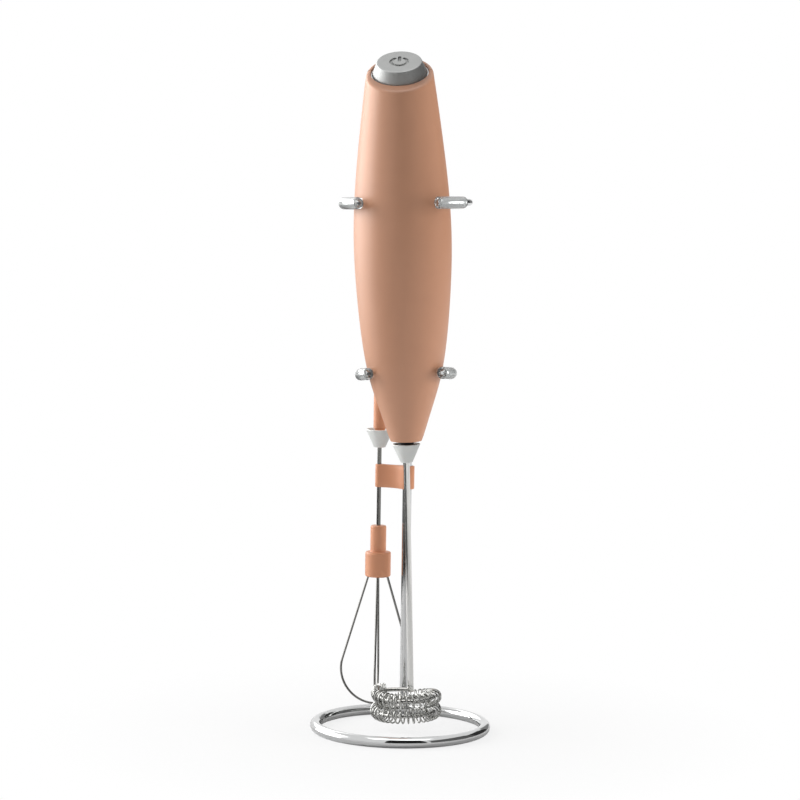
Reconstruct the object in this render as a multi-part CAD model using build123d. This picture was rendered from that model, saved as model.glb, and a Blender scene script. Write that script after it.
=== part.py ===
"""Battery milk frother standing in a wire stand, with a spare egg whisk clipped to the stand's post.

Millimetres. The origin is the middle of the base ring, on the table. +X is to the right, +Y to the
back and +Z up. The frother and the egg whisk are drawn upright on the Z axis, at their heights above
the table, and are then placed in the stand, where the frother leans a little.
"""
import math
import os

from build123d import *

# Wire stand
RING_RADIUS = 29.4
RING_ROD = 3.8
POST_ROD = 3.2
POST_TOP = 188.0
POST_CHAMFER = 0.5
CRADLE_ROD = 2.5
UPPER_CRADLE_X = -0.7
UPPER_CRADLE_Z = 183.5
UPPER_CRADLE_RADIUS = 21.6
UPPER_CRADLE_RISE = 2.8
UPPER_CRADLE_ROLL = 1.4
UPPER_GAP_HALF = 38.1
UPPER_GAP_TURN = -7.1
LOWER_CRADLE_Z = 124.35
LOWER_CRADLE_RADIUS = 15.55
LOWER_CRADLE_RISE = 7.0
LOWER_CRADLE_ROLL = 2.0
LOWER_GAP_HALF = 53.4
LOWER_GAP_TURN = 0.8
SLEEVE_OD = 4.2
SLEEVE_LENGTH = 13.0
SLEEVE_END = 0.6

# Where the frother and the egg whisk stand
FROTHER_X = -0.35
FROTHER_Y = 5.25
FROTHER_LEAN = -1.85
FROTHER_PIVOT = 125.2
FROTHER_TURN = -2.0
EGG_X = -10.15
EGG_Y = 33.0

# Handle: outer radius at heights above the table, and the slanted top
HANDLE_OUTLINE = (
    (5.5, 101.0),
    (9.0, 111.8),
    (12.2, 122.3),
    (14.2, 132.7),
    (16.0, 149.8),
    (16.85, 166.5),
    (16.45, 183.8),
    (14.5, 204.5),
    (11.95, 225.0),
    (10.4, 236.0),
)
WALL = 1.25
NOSE_Z = 101.0
NOSE_EDGE = 0.4
NOSE_BORE = 8.8
NOSE_BORE_TOP = 104.8
RIM_Z = 228.3
RIM_SLANT = 27.0
RIM_ROUND = 1.8
RIM_LIP = 2.0
RIM_OPENING = 20.0
COVER_BOTTOM = 138.0
COVER_HALF_ANGLE = 82.0
SEAM = 0.15
CLOSE_FIT = 0.05
COVER_ROOM = 0.35
COVER_PATH_RADIUS = 13.85

# Button and switch, along the slanted axis from the rim's plane
BUTTON_BASE = 18.6
BUTTON_TOP = 15.7
BUTTON_PROUD = 4.0
BUTTON_EDGE = 0.35
BUTTON_SKIRT = 1.8
BUTTON_WALL = 1.2
SYMBOL_RADIUS = 3.45
SYMBOL_STROKE = 0.8
SYMBOL_DEPTH = 0.35
SYMBOL_BREAK_HALF = 35.0
BEZEL_OD = 19.9
BEZEL_ID = 18.9
BEZEL_PROUD = 0.15
BEZEL_DEPTH = 1.6
SEAT_TOP = -7.4
SEAT_THICKNESS = 1.4
SWITCH_SIDE = 8.0
SWITCH_HEIGHT = 4.0
PLUNGER_OD = 3.0
PLUNGER_BORE = 3.2
PLUNGER_DEPTH = 1.0
SPRING_WIRE = 0.5
SPRING_RADIUS = 3.0
SPRING_TURNS = 7

# Cells, contacts and the chassis that carries them
CELL_OD = 13.9
CELL_LENGTH = 49.5
CELL_CHANNEL = 14.2
CELL_X = 7.0
CELL_NUB_OD = 5.5
CELL_NUB = 1.0
CELL_EDGE = 0.5
LEFT_CELL_Z = 148.0
RIGHT_CELL_Z = 147.9
BULKHEAD_Z = 144.6
CONTACT_SHEET = 0.3
CONTACT_FLOOR = 146.0
CONTACT_CEILING = 199.8
UPPER_BULKHEAD = 1.6
COIL_WIRE = 0.6
SPINE_HALF = 3.0
SPINE_BACK = -7.5
SPINE_FRONT = -11.2
SPINE_TOP = 217.0
SCREW_HEIGHTS = (156.0, 192.0)
SCREW_SHANK = 1.96
SCREW_HEAD = 3.8
SCREW_HEAD_HEIGHT = 1.2
SCREW_TIP = -14.0
BOSS_OD = 4.0
CONTACT_HALF = 4.0
CONTACT_TURNS = (4.0, 3.2, 2.4)
CONTACT_TURNS_HEIGHT = 1.7
LEFT_TAB = (-10.3, -8.7, 2.8, 3.3)
LEFT_TAB_RISE = 1.4
RIGHT_TAIL = (3.8, 6.0, -12.0)
LEAD_OD = 1.2
LEAD_HOLE = 1.8
LEAD_RADIUS = 3.0
TERMINAL_X = 3.2
MOTOR_LEAD = (5.0, -9.2, 141.8)

# Motor and drive
MOTOR_OD = 20.0
MOTOR_FLAT = 15.0
MOTOR_Z = 119.5
MOTOR_SPLIT = 141.0
MOTOR_TOP = 144.5
MOTOR_SHEET = 0.8
MOTOR_BOSS_OD = 6.1
MOTOR_BOSS = 1.3
BUSH_OD = 4.0
BUSH_BORE = 2.1
MOTOR_SHAFT = 2.0
BUSH_LENGTH = 2.3
MAGNET_GAP = 0.5
MAGNET_HALF = 5.5
MAGNET_OVERHANG = 1.5
TAB_HALF = 1.0
TAB_FOOT = 141.2
BRUSH_STRIP = 0.3
BRUSH_GAP = 0.1
BRUSH_HALF = 2.0
ROTOR_OD = 11.6
ROTOR_Z = 124.0
ROTOR_HEIGHT = 11.5
POLES = 3
HUB_OD = 3.8
NECK = 2.6
SHOE_INNER = 8.6
SHOE_GAP = 1.8
WINDING = (2.4, 3.4, 2.4)
WINDING_END = 1.0
COMMUTATOR_OD = 4.6
COMMUTATOR_HEIGHT = 3.2
COMMUTATOR_GAP = 2.1
COUPLING_OD = 7.0
COUPLING_Z = 101.6
COUPLING_TOP = 117.9
NOSE_BUSH_OD = 8.76
NOSE_BUSH_ID = 7.14

# Whisk ends that plug into the coupling: stem, cone guard and shaft
STEM_OD = 4.6
STEM_ROUND = 12.2
STEM_KEY = 2.6
STEM_FLAT = 1.6
STEM_FIT = 0.075
STEM_SPIGOT = 3.6
STEM_RELIEF = 0.2
SHAFT_GRIP = 4.4
CONE_HEIGHT = 6.5
CONE_RIM = 9.7
CONE_TIP = 4.4
CONE_WALL = 0.6
CONE_FLOOR = 2.1
CONE_EDGE = 0.35
FROTH_CONE_Z = 93.5
EGG_CONE_Z = 95.2

# Froth whisk
FROTH_SHAFT = 2.2
CORE_WIRE = 1.4
SPOKE_Z = 13.6
SPOKE_LENGTH = 11.2
SPOKE_SWING = 1.0
TIER_X = -1.75
TIER_RADIUS = 9.9
TURN_RADIUS = 2.4
TURN_WIRE = 0.6
TURN_STEP = 9.0
TURN_TILT = 5.8
UPPER_TURNS = 34
LOWER_TURNS = 24
CORE_HEIGHTS = ((190.0, 13.0), (229.0, 11.2), (360.0, 11.2), (550.0, 6.0), (780.0, 6.0))
CORE_STEP = 30.0
CORE_CORNERS = 19
CORE_BEND = 8.5
SPOKE_BEND = 3.0
COIL_LEAD = 14.0

# Egg whisk
EGG_SHAFT = 1.5
COLLAR_Z = 48.9
COLLAR_STEP_Z = 57.8
COLLAR_TOP = 67.2
COLLAR_OD = 9.1
COLLAR_NECK = 5.6
COLLAR_EDGE = 0.6
LOOP_WIRE = 0.8
LOOP_CENTRE_Z = 15.6
LOOP_ENTRY = 3.4
LOOP_GRIP = 4.0
OUTER_LOOP_RADIUS = 12.7
INNER_LOOP_RADIUS = 11.8

# Clip on the post
CLIP_Z = 81.0
CLIP_HEIGHT = 8.2
CLIP_POST_OD = 5.0
CLIP_EGG_OD = 3.2
CLIP_WEB = 2.2
CLIP_BLEND = 0.8
CLIP_EDGE = 0.25
CLIP_POST_BORE = 3.3
CLIP_EGG_BORE = 1.64
CLIP_POST_MOUTH = 2.4
CLIP_EGG_MOUTH = 1.0

MIN_Z = (Align.CENTER, Align.CENTER, Align.MIN)
FAR = 80.0

# The frother's lean turns about a point just above the lower cradle, which carries it.
FROTHER = (
    Pos(FROTHER_X, FROTHER_Y, FROTHER_PIVOT)
    * Rot(0, FROTHER_LEAN, 0)
    * Rot(0, 0, FROTHER_TURN)
    * Pos(0, 0, -FROTHER_PIVOT)
)
EGG = Pos(EGG_X, EGG_Y, 0)
TOP = Pos(0, 0, RIM_Z) * Rot(RIM_SLANT, 0, 0)

os.makedirs("parts", exist_ok=True)


def save(name, shape, place=None):
    """Writes one sub-part, put in its place in the stand."""
    placed = shape if place is None else place * shape
    placed.label = name
    export_step(placed, f"parts/{name}.step")


def rod(diameter, bottom, top):
    """An upright cylinder on the Z axis."""
    return Pos(0, 0, bottom) * Cylinder(diameter / 2, top - bottom, align=MIN_Z)


def tube(outer, inner, bottom, top):
    """An upright tube on the Z axis."""
    return rod(outer, bottom, top) - rod(inner, bottom - 1, top + 1)


def block(x0, x1, y0, y1, z0, z1):
    """A box between two corners."""
    middle = Pos((x0 + x1) / 2, (y0 + y1) / 2, (z0 + z1) / 2)
    return middle * Box(x1 - x0, y1 - y0, z1 - z0)


def turned(points):
    """A solid of revolution from (radius, height) points."""
    return revolve(make_face(Plane.XZ * Polyline(*points, close=True)), Axis.Z)


def bent_rod(radius, diameter, start, sweep_angle, bore=0.0):
    """A rod, or a tube, bent round the Z axis from a start angle."""
    section = Circle(diameter / 2)
    if bore:
        section = section - Circle(bore / 2)
    arc = revolve(Plane.XZ * Pos(radius, 0) * section, Axis.Z, sweep_angle)
    return Rot(0, 0, start) * arc


def wire(path, diameter):
    """A round wire along a path of straight runs and arcs."""
    section = Plane(origin=path @ 0, z_dir=path % 0) * Circle(diameter / 2)
    return sweep(section, path=path)


# Stand: a base ring, a post welded on it, and two cradles welded to the post
base_ring = Pos(0, 0, RING_ROD / 2) * Torus(RING_RADIUS, RING_ROD / 2)
post_rod = Pos(0, RING_RADIUS, 0) * rod(POST_ROD, RING_ROD / 2, POST_TOP)
post = chamfer(post_rod.edges().sort_by(Axis.Z)[-1], POST_CHAMFER) - base_ring
save("base_ring", base_ring)
save("post", post)


def cradle(radius, gap_half, gap_turn):
    """An open ring of rod with a clear sleeve on each end, at height 0 on the frother's axis."""
    start = -90 + gap_turn + gap_half
    span = 360 - 2 * gap_half
    inset = math.degrees(SLEEVE_END / radius)
    sleeve_span = math.degrees(SLEEVE_LENGTH / radius)
    ring = bent_rod(radius, CRADLE_ROD, start + inset, span - 2 * inset)
    sleeve_starts = (start, start + span - sleeve_span)
    sleeves = [bent_rod(radius, SLEEVE_OD, angle, sleeve_span, CRADLE_ROD) for angle in sleeve_starts]
    return ring, Compound(sleeves)


upper_tip = Rot(0, -UPPER_CRADLE_ROLL, 0) * Rot(-UPPER_CRADLE_RISE, 0, 0)
upper_place = Pos(UPPER_CRADLE_X, FROTHER_Y, UPPER_CRADLE_Z) * upper_tip
upper_ring, upper_sleeves = cradle(UPPER_CRADLE_RADIUS, UPPER_GAP_HALF, UPPER_GAP_TURN)
save("upper_cradle", upper_place * upper_ring - post_rod)
save("upper_sleeves", upper_sleeves, upper_place)

lower_tip = Rot(0, -LOWER_CRADLE_ROLL, 0) * Rot(-LOWER_CRADLE_RISE, 0, 0)
lower_place = Pos(0, FROTHER_Y, LOWER_CRADLE_Z) * lower_tip
lower_ring, lower_sleeves = cradle(LOWER_CRADLE_RADIUS, LOWER_GAP_HALF, LOWER_GAP_TURN)
stub_end = (RING_RADIUS - FROTHER_Y) / math.cos(math.radians(LOWER_CRADLE_RISE))
stub_length = stub_end - LOWER_CRADLE_RADIUS
stub = Pos(0, LOWER_CRADLE_RADIUS, 0) * Rot(-90, 0, 0) * Cylinder(CRADLE_ROD / 2, stub_length, align=MIN_Z)
save("lower_cradle", lower_place * (lower_ring + stub) - post_rod)
save("lower_sleeves", lower_sleeves, lower_place)


# Handle: a front shell with the nose, and a back cover that slides up off the cells
def handle_body(inset):
    """The handle's outline, drawn in by an inset, turned into a solid."""
    points = [(radius - inset, height) for radius, height in HANDLE_OUTLINE]
    side = Spline(*points)
    top = Polyline(points[-1], (0, points[-1][1]), (0, points[0][1]), points[0])
    return revolve(make_face(Plane.XZ * (side + top)), Axis.Z)


def above_rim(depth):
    """What lies above a plane that runs a depth under the rim's slanted plane."""
    return TOP * block(-FAR, FAR, -FAR, FAR, -depth, FAR)


def back_sector(reach):
    """The upright wedge of the handle that the back cover takes up."""
    angle = math.radians(COVER_HALF_ANGLE)
    side = reach * math.sin(angle)
    edge = reach * math.cos(angle)
    outline = Polyline((0, 0), (side, edge), (side, reach), (-side, reach), (-side, edge), close=True)
    return Pos(0, 0, COVER_BOTTOM) * extrude(make_face(outline), FAR + RIM_Z - COVER_BOTTOM)


body = handle_body(0) - above_rim(0)
rim_edge = body.faces().filter_by(GeomType.PLANE).sort_by(Axis.Z)[-1].edges()
body = fillet(rim_edge, RIM_ROUND)
body = fillet(body.edges().sort_by(Axis.Z)[0], NOSE_EDGE)
cavity = handle_body(WALL) - above_rim(RIM_LIP) - block(-FAR, FAR, -FAR, FAR, 0, NOSE_BORE_TOP)
opening_foot = -RIM_LIP - SEAM
opening = TOP * rod(RIM_OPENING, opening_foot, FAR)
shell = body - cavity - opening - rod(NOSE_BORE, NOSE_Z - 1, NOSE_BORE_TOP + 1)

sector = back_sector(FAR)
bosses = []
for height in SCREW_HEIGHTS:
    boss = Pos(0, 0, height) * Rot(90, 0, 0) * Cylinder(BOSS_OD / 2, FAR, align=MIN_Z)
    hole = Pos(0, 0, height) * Rot(90, 0, 0) * Cylinder(SCREW_SHANK / 2, -SCREW_TIP, align=MIN_Z)
    keep = block(-FAR, FAR, -FAR, SPINE_FRONT, 0, 2 * FAR + RIM_Z)
    bosses.append((boss & handle_body(WALL / 2) & keep) - hole)
handle_shell = shell - sector
for boss in bosses:
    handle_shell = handle_shell + boss
battery_cover = shell & (Pos(0, SEAM, SEAM) * sector)
battery_cover = battery_cover - TOP * rod(RIM_OPENING + 2 * COVER_ROOM, opening_foot, FAR)
for side in (-CELL_X, CELL_X):
    battery_cover = battery_cover - Pos(side, 0, 0) * rod(CELL_CHANNEL, COVER_BOTTOM, LEFT_CELL_Z + CELL_LENGTH)
save("handle_shell", handle_shell, FROTHER)
save("battery_cover", battery_cover, FROTHER)

# Room inside the handle: a close fit in the front shell, clear of the cover's path at the back
back_room = handle_body(WALL + COVER_ROOM) & rod(2 * COVER_PATH_RADIUS, NOSE_Z, FAR + RIM_Z) & sector
front_room = handle_body(WALL + CLOSE_FIT) - sector
room = front_room + back_room

# Button on the slanted top, with a sunk power symbol
symbol_ring = tube(2 * SYMBOL_RADIUS, 2 * (SYMBOL_RADIUS - SYMBOL_STROKE), -SYMBOL_DEPTH, 1)
break_width = 2 * SYMBOL_RADIUS * math.sin(math.radians(SYMBOL_BREAK_HALF))
symbol_break = block(-break_width / 2, break_width / 2, 0, FAR, -1, 2)
bar_half = SYMBOL_STROKE / 2
symbol_bar = block(-bar_half, bar_half, SYMBOL_RADIUS / 3, SYMBOL_RADIUS, -SYMBOL_DEPTH, 1)
symbol = Pos(0, 0, BUTTON_PROUD) * (symbol_ring - symbol_break + symbol_bar)
button_roof = BUTTON_PROUD - BUTTON_WALL
button = turned(
    (
        (0, BUTTON_PROUD),
        (BUTTON_TOP / 2 - BUTTON_EDGE, BUTTON_PROUD),
        (BUTTON_TOP / 2, BUTTON_PROUD - BUTTON_EDGE),
        (BUTTON_BASE / 2, 0),
        (BUTTON_BASE / 2, -BUTTON_SKIRT),
        (BUTTON_BASE / 2 - BUTTON_WALL, -BUTTON_SKIRT),
        (BUTTON_BASE / 2 - BUTTON_WALL, 0),
        (BUTTON_TOP / 2 - BUTTON_WALL, button_roof),
        (0, button_roof),
    )
)
save("power_button", TOP * (button - symbol), FROTHER)
save("button_bezel", TOP * tube(BEZEL_OD, BEZEL_ID, -BEZEL_DEPTH, BEZEL_PROUD), FROTHER)

# Switch under the button: body on the slanted seat, plunger and return spring
switch_top = SEAT_TOP + SWITCH_HEIGHT
plunger_foot = switch_top - PLUNGER_DEPTH
switch_half = SWITCH_SIDE / 2
switch_body = block(-switch_half, switch_half, -switch_half, switch_half, SEAT_TOP, switch_top)
switch_body = switch_body - rod(PLUNGER_BORE, SEAT_TOP + PLUNGER_DEPTH, 0)
spring_run = button_roof - switch_top - SPRING_WIRE
spring_rings = []
for turn in range(SPRING_TURNS):
    height = switch_top + SPRING_WIRE / 2 + spring_run * turn / (SPRING_TURNS - 1)
    spring_rings.append(Pos(0, 0, height) * Torus(SPRING_RADIUS, SPRING_WIRE / 2))
save("switch_body", TOP * switch_body, FROTHER)
save("switch_plunger", TOP * rod(PLUNGER_OD, plunger_foot, button_roof), FROTHER)
save("button_spring", TOP * Compound(spring_rings), FROTHER)

# Leads: motor to switch, motor to the right contact, left contact to switch
switch_foot = SEAT_TOP - SEAT_THICKNESS
terminal = (TOP * Pos(0, 0, switch_foot - LEAD_OD)).position
lead_routes = (
    (
        (-MOTOR_LEAD[0], MOTOR_LEAD[1], MOTOR_LEAD[2]),
        (-3.6, -12.2, 149.0),
        (-4.2, -11.2, 206.0),
        (-4.2, 1.5, 213.5),
        (-TERMINAL_X, terminal.Y, terminal.Z),
    ),
    (
        MOTOR_LEAD,
        (3.6, -12.2, 149.0),
        (4.8, -11.2, CONTACT_CEILING - CONTACT_SHEET),
    ),
    (
        (-9.5, 4.0, 202.6),
        (-8.0, 4.0, 207.5),
        (TERMINAL_X, 4.0, 212.0),
        (TERMINAL_X, terminal.Y, terminal.Z),
    ),
)


def leads(diameter):
    """All leads, as separate wires of one diameter."""
    return [wire(FilletPolyline(*route, radius=LEAD_RADIUS), diameter) for route in lead_routes]


save("leads", Compound(leads(LEAD_OD)), FROTHER)

# Chassis: two bulkheads and the slanted switch seat on one spine, screwed to the front shell
lower_bulkhead = block(-FAR, FAR, -FAR, FAR, BULKHEAD_Z, CONTACT_FLOOR)
upper_bulkhead = block(-FAR, FAR, -FAR, FAR, CONTACT_CEILING, CONTACT_CEILING + UPPER_BULKHEAD)
seat = TOP * block(-FAR, FAR, -FAR, FAR, switch_foot, SEAT_TOP)
spine = block(-SPINE_HALF, SPINE_HALF, SPINE_FRONT, SPINE_BACK, BULKHEAD_Z, SPINE_TOP)
chassis = (lower_bulkhead & room) + (upper_bulkhead & room) + (seat & room) + (spine & room)
for fat_lead in leads(LEAD_HOLE):
    chassis = chassis - fat_lead
screws = []
for height in SCREW_HEIGHTS:
    aim = Pos(0, SPINE_BACK, height) * Rot(90, 0, 0)
    shank = aim * Cylinder(SCREW_SHANK / 2, SPINE_BACK - SCREW_TIP, align=MIN_Z)
    head = aim * Pos(0, 0, -SCREW_HEAD_HEIGHT) * Cylinder(SCREW_HEAD / 2, SCREW_HEAD_HEIGHT, align=MIN_Z)
    slot = aim * Pos(0, 0, -SCREW_HEAD_HEIGHT) * Box(SCREW_HEAD, SCREW_HEAD / 6, SCREW_HEAD_HEIGHT)
    screws.append(shank + head - slot)
    chassis = chassis - shank
save("chassis_screws", Compound(screws), FROTHER)


# Cells lie head to tail; springs press them against the contact plates
def cell(bottom, nub_up):
    """One round cell with its nub at the top or at the bottom."""
    can = rod(CELL_OD, bottom, bottom + CELL_LENGTH)
    can = fillet(can.edges().filter_by(GeomType.CIRCLE), CELL_EDGE)
    nub_foot = bottom + CELL_LENGTH if nub_up else bottom - CELL_NUB
    return can + rod(CELL_NUB_OD, nub_foot, nub_foot + CELL_NUB)


def contact_spring(foot, up):
    """Three wire turns that narrow towards the cell."""
    rings = []
    pitch = (CONTACT_TURNS_HEIGHT - COIL_WIRE) / (len(CONTACT_TURNS) - 1)
    for turn, radius in enumerate(CONTACT_TURNS):
        rise = COIL_WIRE / 2 + turn * pitch
        rings.append(Pos(0, 0, foot + rise if up else foot - rise) * Torus(radius, COIL_WIRE / 2))
    return rings


sheet_top = CONTACT_FLOOR + CONTACT_SHEET
sheet_foot = CONTACT_CEILING - CONTACT_SHEET
bridge_end = CELL_X + CONTACT_HALF
bridge = block(-bridge_end, bridge_end, -CONTACT_HALF, CONTACT_HALF, CONTACT_FLOOR, sheet_top)
bridge = bridge + Pos(CELL_X, 0, 0) * rod(CONTACT_HALF, sheet_top, RIGHT_CELL_Z - CELL_NUB)
plate = block(-CONTACT_HALF, CONTACT_HALF, -CONTACT_HALF, CONTACT_HALF, sheet_foot, CONTACT_CEILING)
left_nub_top = LEFT_CELL_Z + CELL_LENGTH + CELL_NUB
left_plate = Pos(-CELL_X, 0, 0) * (plate + rod(CONTACT_HALF, left_nub_top, sheet_foot))
left_tab = block(*LEFT_TAB, sheet_foot, CONTACT_CEILING + UPPER_BULKHEAD + LEFT_TAB_RISE)
right_tail = block(*RIGHT_TAIL, -CONTACT_HALF, sheet_foot, CONTACT_CEILING)
right_plate = Pos(CELL_X, 0, 0) * plate + right_tail
lower_spring = [Pos(-CELL_X, 0, 0) * ring for ring in contact_spring(sheet_top, True)]
upper_spring = [Pos(CELL_X, 0, 0) * ring for ring in contact_spring(sheet_foot, False)]
chassis = chassis - left_tab
save("chassis", chassis, FROTHER)
save("cell_left", Pos(-CELL_X, 0, 0) * cell(LEFT_CELL_Z, True), FROTHER)
save("cell_right", Pos(CELL_X, 0, 0) * cell(RIGHT_CELL_Z, False), FROTHER)
save("bridge_contact", bridge, FROTHER)
save("upper_contacts", Compound([left_plate + left_tab, right_plate]), FROTHER)
save("contact_springs", Compound(lower_spring + upper_spring), FROTHER)


# Motor: a can with two flats, magnets, end cap and brushes round a three-pole rotor
def motor_section(outer, flat, bottom, top):
    """The motor's round section with two flats."""
    return rod(outer, bottom, top) & block(-FAR, FAR, -flat / 2, flat / 2, bottom, top)


boss_foot = MOTOR_Z - MOTOR_BOSS
inner_od = MOTOR_OD - 2 * MOTOR_SHEET
inner_flat = MOTOR_FLAT - 2 * MOTOR_SHEET
can = motor_section(MOTOR_OD, MOTOR_FLAT, MOTOR_Z, MOTOR_SPLIT)
can = can - motor_section(inner_od, inner_flat, MOTOR_Z + MOTOR_SHEET, MOTOR_SPLIT)
can = can + rod(MOTOR_BOSS_OD, boss_foot, MOTOR_Z) - rod(BUSH_OD, boss_foot - 1, MOTOR_Z + 2)
bush_seat = MOTOR_TOP - BUSH_LENGTH
endcap = motor_section(MOTOR_OD, MOTOR_FLAT, MOTOR_SPLIT, MOTOR_TOP)
endcap = endcap - motor_section(inner_od - 2, inner_flat - 2, MOTOR_SPLIT, bush_seat)
endcap = endcap - rod(BUSH_OD, bush_seat - 1, MOTOR_TOP - MOTOR_SHEET / 2)
lower_bush = tube(BUSH_OD, BUSH_BORE, boss_foot, MOTOR_Z + MOTOR_SHEET)
upper_bush = tube(BUSH_OD, BUSH_BORE, bush_seat, MOTOR_TOP - MOTOR_SHEET / 2)
rotor_top = ROTOR_Z + ROTOR_HEIGHT
magnet_od = inner_od - 4 * CLOSE_FIT
magnet_id = ROTOR_OD + 2 * MAGNET_GAP
magnet_tube = tube(magnet_od, magnet_id, ROTOR_Z - MAGNET_OVERHANG, rotor_top + MAGNET_OVERHANG)
magnets = magnet_tube & block(-FAR, FAR, -MAGNET_HALF, MAGNET_HALF, 0, FAR * 2)
commutator_z = rotor_top + COMMUTATOR_GAP
commutator_top = commutator_z + COMMUTATOR_HEIGHT
brush_x = COMMUTATOR_OD / 2 + BRUSH_GAP
brush_foot = commutator_z + BRUSH_STRIP
brush_strip = block(brush_x, brush_x + BRUSH_STRIP, -BRUSH_HALF, BRUSH_HALF, brush_foot, bush_seat)
flat_y = -MOTOR_FLAT / 2
tab_x = MOTOR_LEAD[0]
motor_tab = block(tab_x - TAB_HALF, tab_x + TAB_HALF, flat_y - TAB_HALF, flat_y, TAB_FOOT, MOTOR_TOP)
brushes = []
for turn in (0, 180):
    brushes.append(Rot(0, 0, turn) * brush_strip)
brushes.append(motor_tab)
brushes.append(mirror(motor_tab, Plane.YZ))
mount_plate = block(-FAR, FAR, -FAR, FAR, boss_foot, MOTOR_Z) & room
mount_plate = mount_plate - rod(MOTOR_BOSS_OD + 0.1, boss_foot - 1, MOTOR_Z + 1)
save("motor_mount", mount_plate, FROTHER)
save("motor_can", can, FROTHER)
save("motor_endcap", endcap, FROTHER)
save("motor_bushes", Compound([lower_bush, upper_bush]), FROTHER)
save("motor_magnets", Compound(list(magnets.solids())), FROTHER)
save("motor_brushes", Compound(brushes), FROTHER)

rotor_core = rod(HUB_OD, ROTOR_Z, rotor_top)
shoe_ring = tube(ROTOR_OD, SHOE_INNER, ROTOR_Z, rotor_top)
windings = []
for pole in range(POLES):
    turn = Rot(0, 0, 360 / POLES * pole)
    neck = block(0, SHOE_INNER / 2 + 0.3, -NECK / 2, NECK / 2, ROTOR_Z, rotor_top)
    near, far, half = WINDING
    winding = block(near, far, -half, half, ROTOR_Z - WINDING_END, rotor_top + WINDING_END)
    rotor_core = rotor_core + turn * neck
    slot = Rot(0, 0, 180 / POLES) * block(0, FAR, -SHOE_GAP / 2, SHOE_GAP / 2, ROTOR_Z, rotor_top)
    shoe_ring = shoe_ring - turn * slot
    windings.append(turn * (winding - neck))
rotor_core = rotor_core + shoe_ring - rod(MOTOR_SHAFT, ROTOR_Z - 1, rotor_top + 1)
shaft_foot = FROTH_CONE_Z + CONE_HEIGHT + STEM_ROUND + STEM_KEY + STEM_RELIEF
save("rotor_core", rotor_core, FROTHER)
save("rotor_windings", Compound(windings), FROTHER)
save("commutator", tube(COMMUTATOR_OD, MOTOR_SHAFT, commutator_z, commutator_top), FROTHER)
save("motor_shaft", rod(MOTOR_SHAFT, shaft_foot, MOTOR_TOP - 1), FROTHER)


# Whisk ends: a stem with a keyed tip above a hollow cone guard
def stem_shape(diameter, foot, cone_rim, flat):
    """A round stem whose tip has one flat."""
    round_top = cone_rim + STEM_ROUND
    key = rod(diameter, round_top, round_top + STEM_KEY) & block(-FAR, flat, -FAR, FAR, 0, 2 * FAR)
    return rod(diameter, foot, round_top) + key


def whisk_stem(cone_foot, shaft):
    """The stem that carries a whisk's shaft and plugs into the coupling, on a spigot in the cone."""
    foot = cone_foot + CONE_FLOOR
    rim = cone_foot + CONE_HEIGHT
    stem = stem_shape(STEM_OD, rim + STEM_RELIEF, rim, STEM_FLAT)
    stem = stem + rod(STEM_SPIGOT, foot, rim + STEM_RELIEF)
    return stem - rod(shaft, foot - 1, foot + SHAFT_GRIP)


def cone_guard(foot, shaft):
    """A hollow cone, open at the top, with a floor that the shaft passes through."""
    rim = foot + CONE_HEIGHT
    floor = foot + CONE_FLOOR
    guard = turned(
        (
            (shaft / 2, foot),
            (CONE_TIP / 2 - CONE_EDGE, foot),
            (CONE_TIP / 2, foot + CONE_EDGE),
            (CONE_RIM / 2, rim - CONE_WALL / 2),
            (CONE_RIM / 2 - CONE_WALL / 4, rim),
            (CONE_RIM / 2 - CONE_WALL, rim),
            (STEM_SPIGOT / 2 + CLOSE_FIT, floor),
            (shaft / 2, floor),
        )
    )
    return guard


stem_rim = FROTH_CONE_Z + CONE_HEIGHT
socket = stem_shape(STEM_OD + 2 * STEM_FIT, COUPLING_Z - 1, stem_rim + STEM_RELIEF, STEM_FLAT + STEM_FIT)
coupling = rod(COUPLING_OD, COUPLING_Z, COUPLING_TOP) - socket
coupling = coupling - rod(MOTOR_SHAFT, shaft_foot - 1, COUPLING_TOP + 1)
save("drive_coupling", coupling, FROTHER)
save("nose_bush", tube(NOSE_BUSH_OD, NOSE_BUSH_ID, NOSE_Z + 0.1, NOSE_BORE_TOP - 0.4), FROTHER)

# Froth whisk: a core wire leaves the shaft along a spoke and runs round inside two tiers of coil
save("froth_stem", whisk_stem(FROTH_CONE_Z, FROTH_SHAFT), FROTHER)
save("froth_cone", cone_guard(FROTH_CONE_Z, FROTH_SHAFT), FROTHER)


def core_height(angle):
    """Height of the core's centreline at an angle along its route."""
    for (start, high), (end, low) in zip(CORE_HEIGHTS, CORE_HEIGHTS[1:]):
        if angle <= end:
            return high + (low - high) * (angle - start) / (end - start)


def core_slope(angle):
    """How steeply the core drops at an angle along its route, in degrees."""
    fall = core_height(angle - 1) - core_height(angle + 1)
    return math.degrees(math.atan(fall / (TIER_RADIUS * math.radians(2))))


def core_corner(index):
    """A corner of the core's route, which runs just outside the round centreline."""
    angle = CORE_HEIGHTS[0][0] + CORE_STEP / 2 + CORE_STEP * index
    turn = math.radians(angle)
    reach = TIER_RADIUS / math.cos(math.radians(CORE_STEP / 2))
    return (TIER_X + reach * math.cos(turn), reach * math.sin(turn), core_height(angle))


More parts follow.
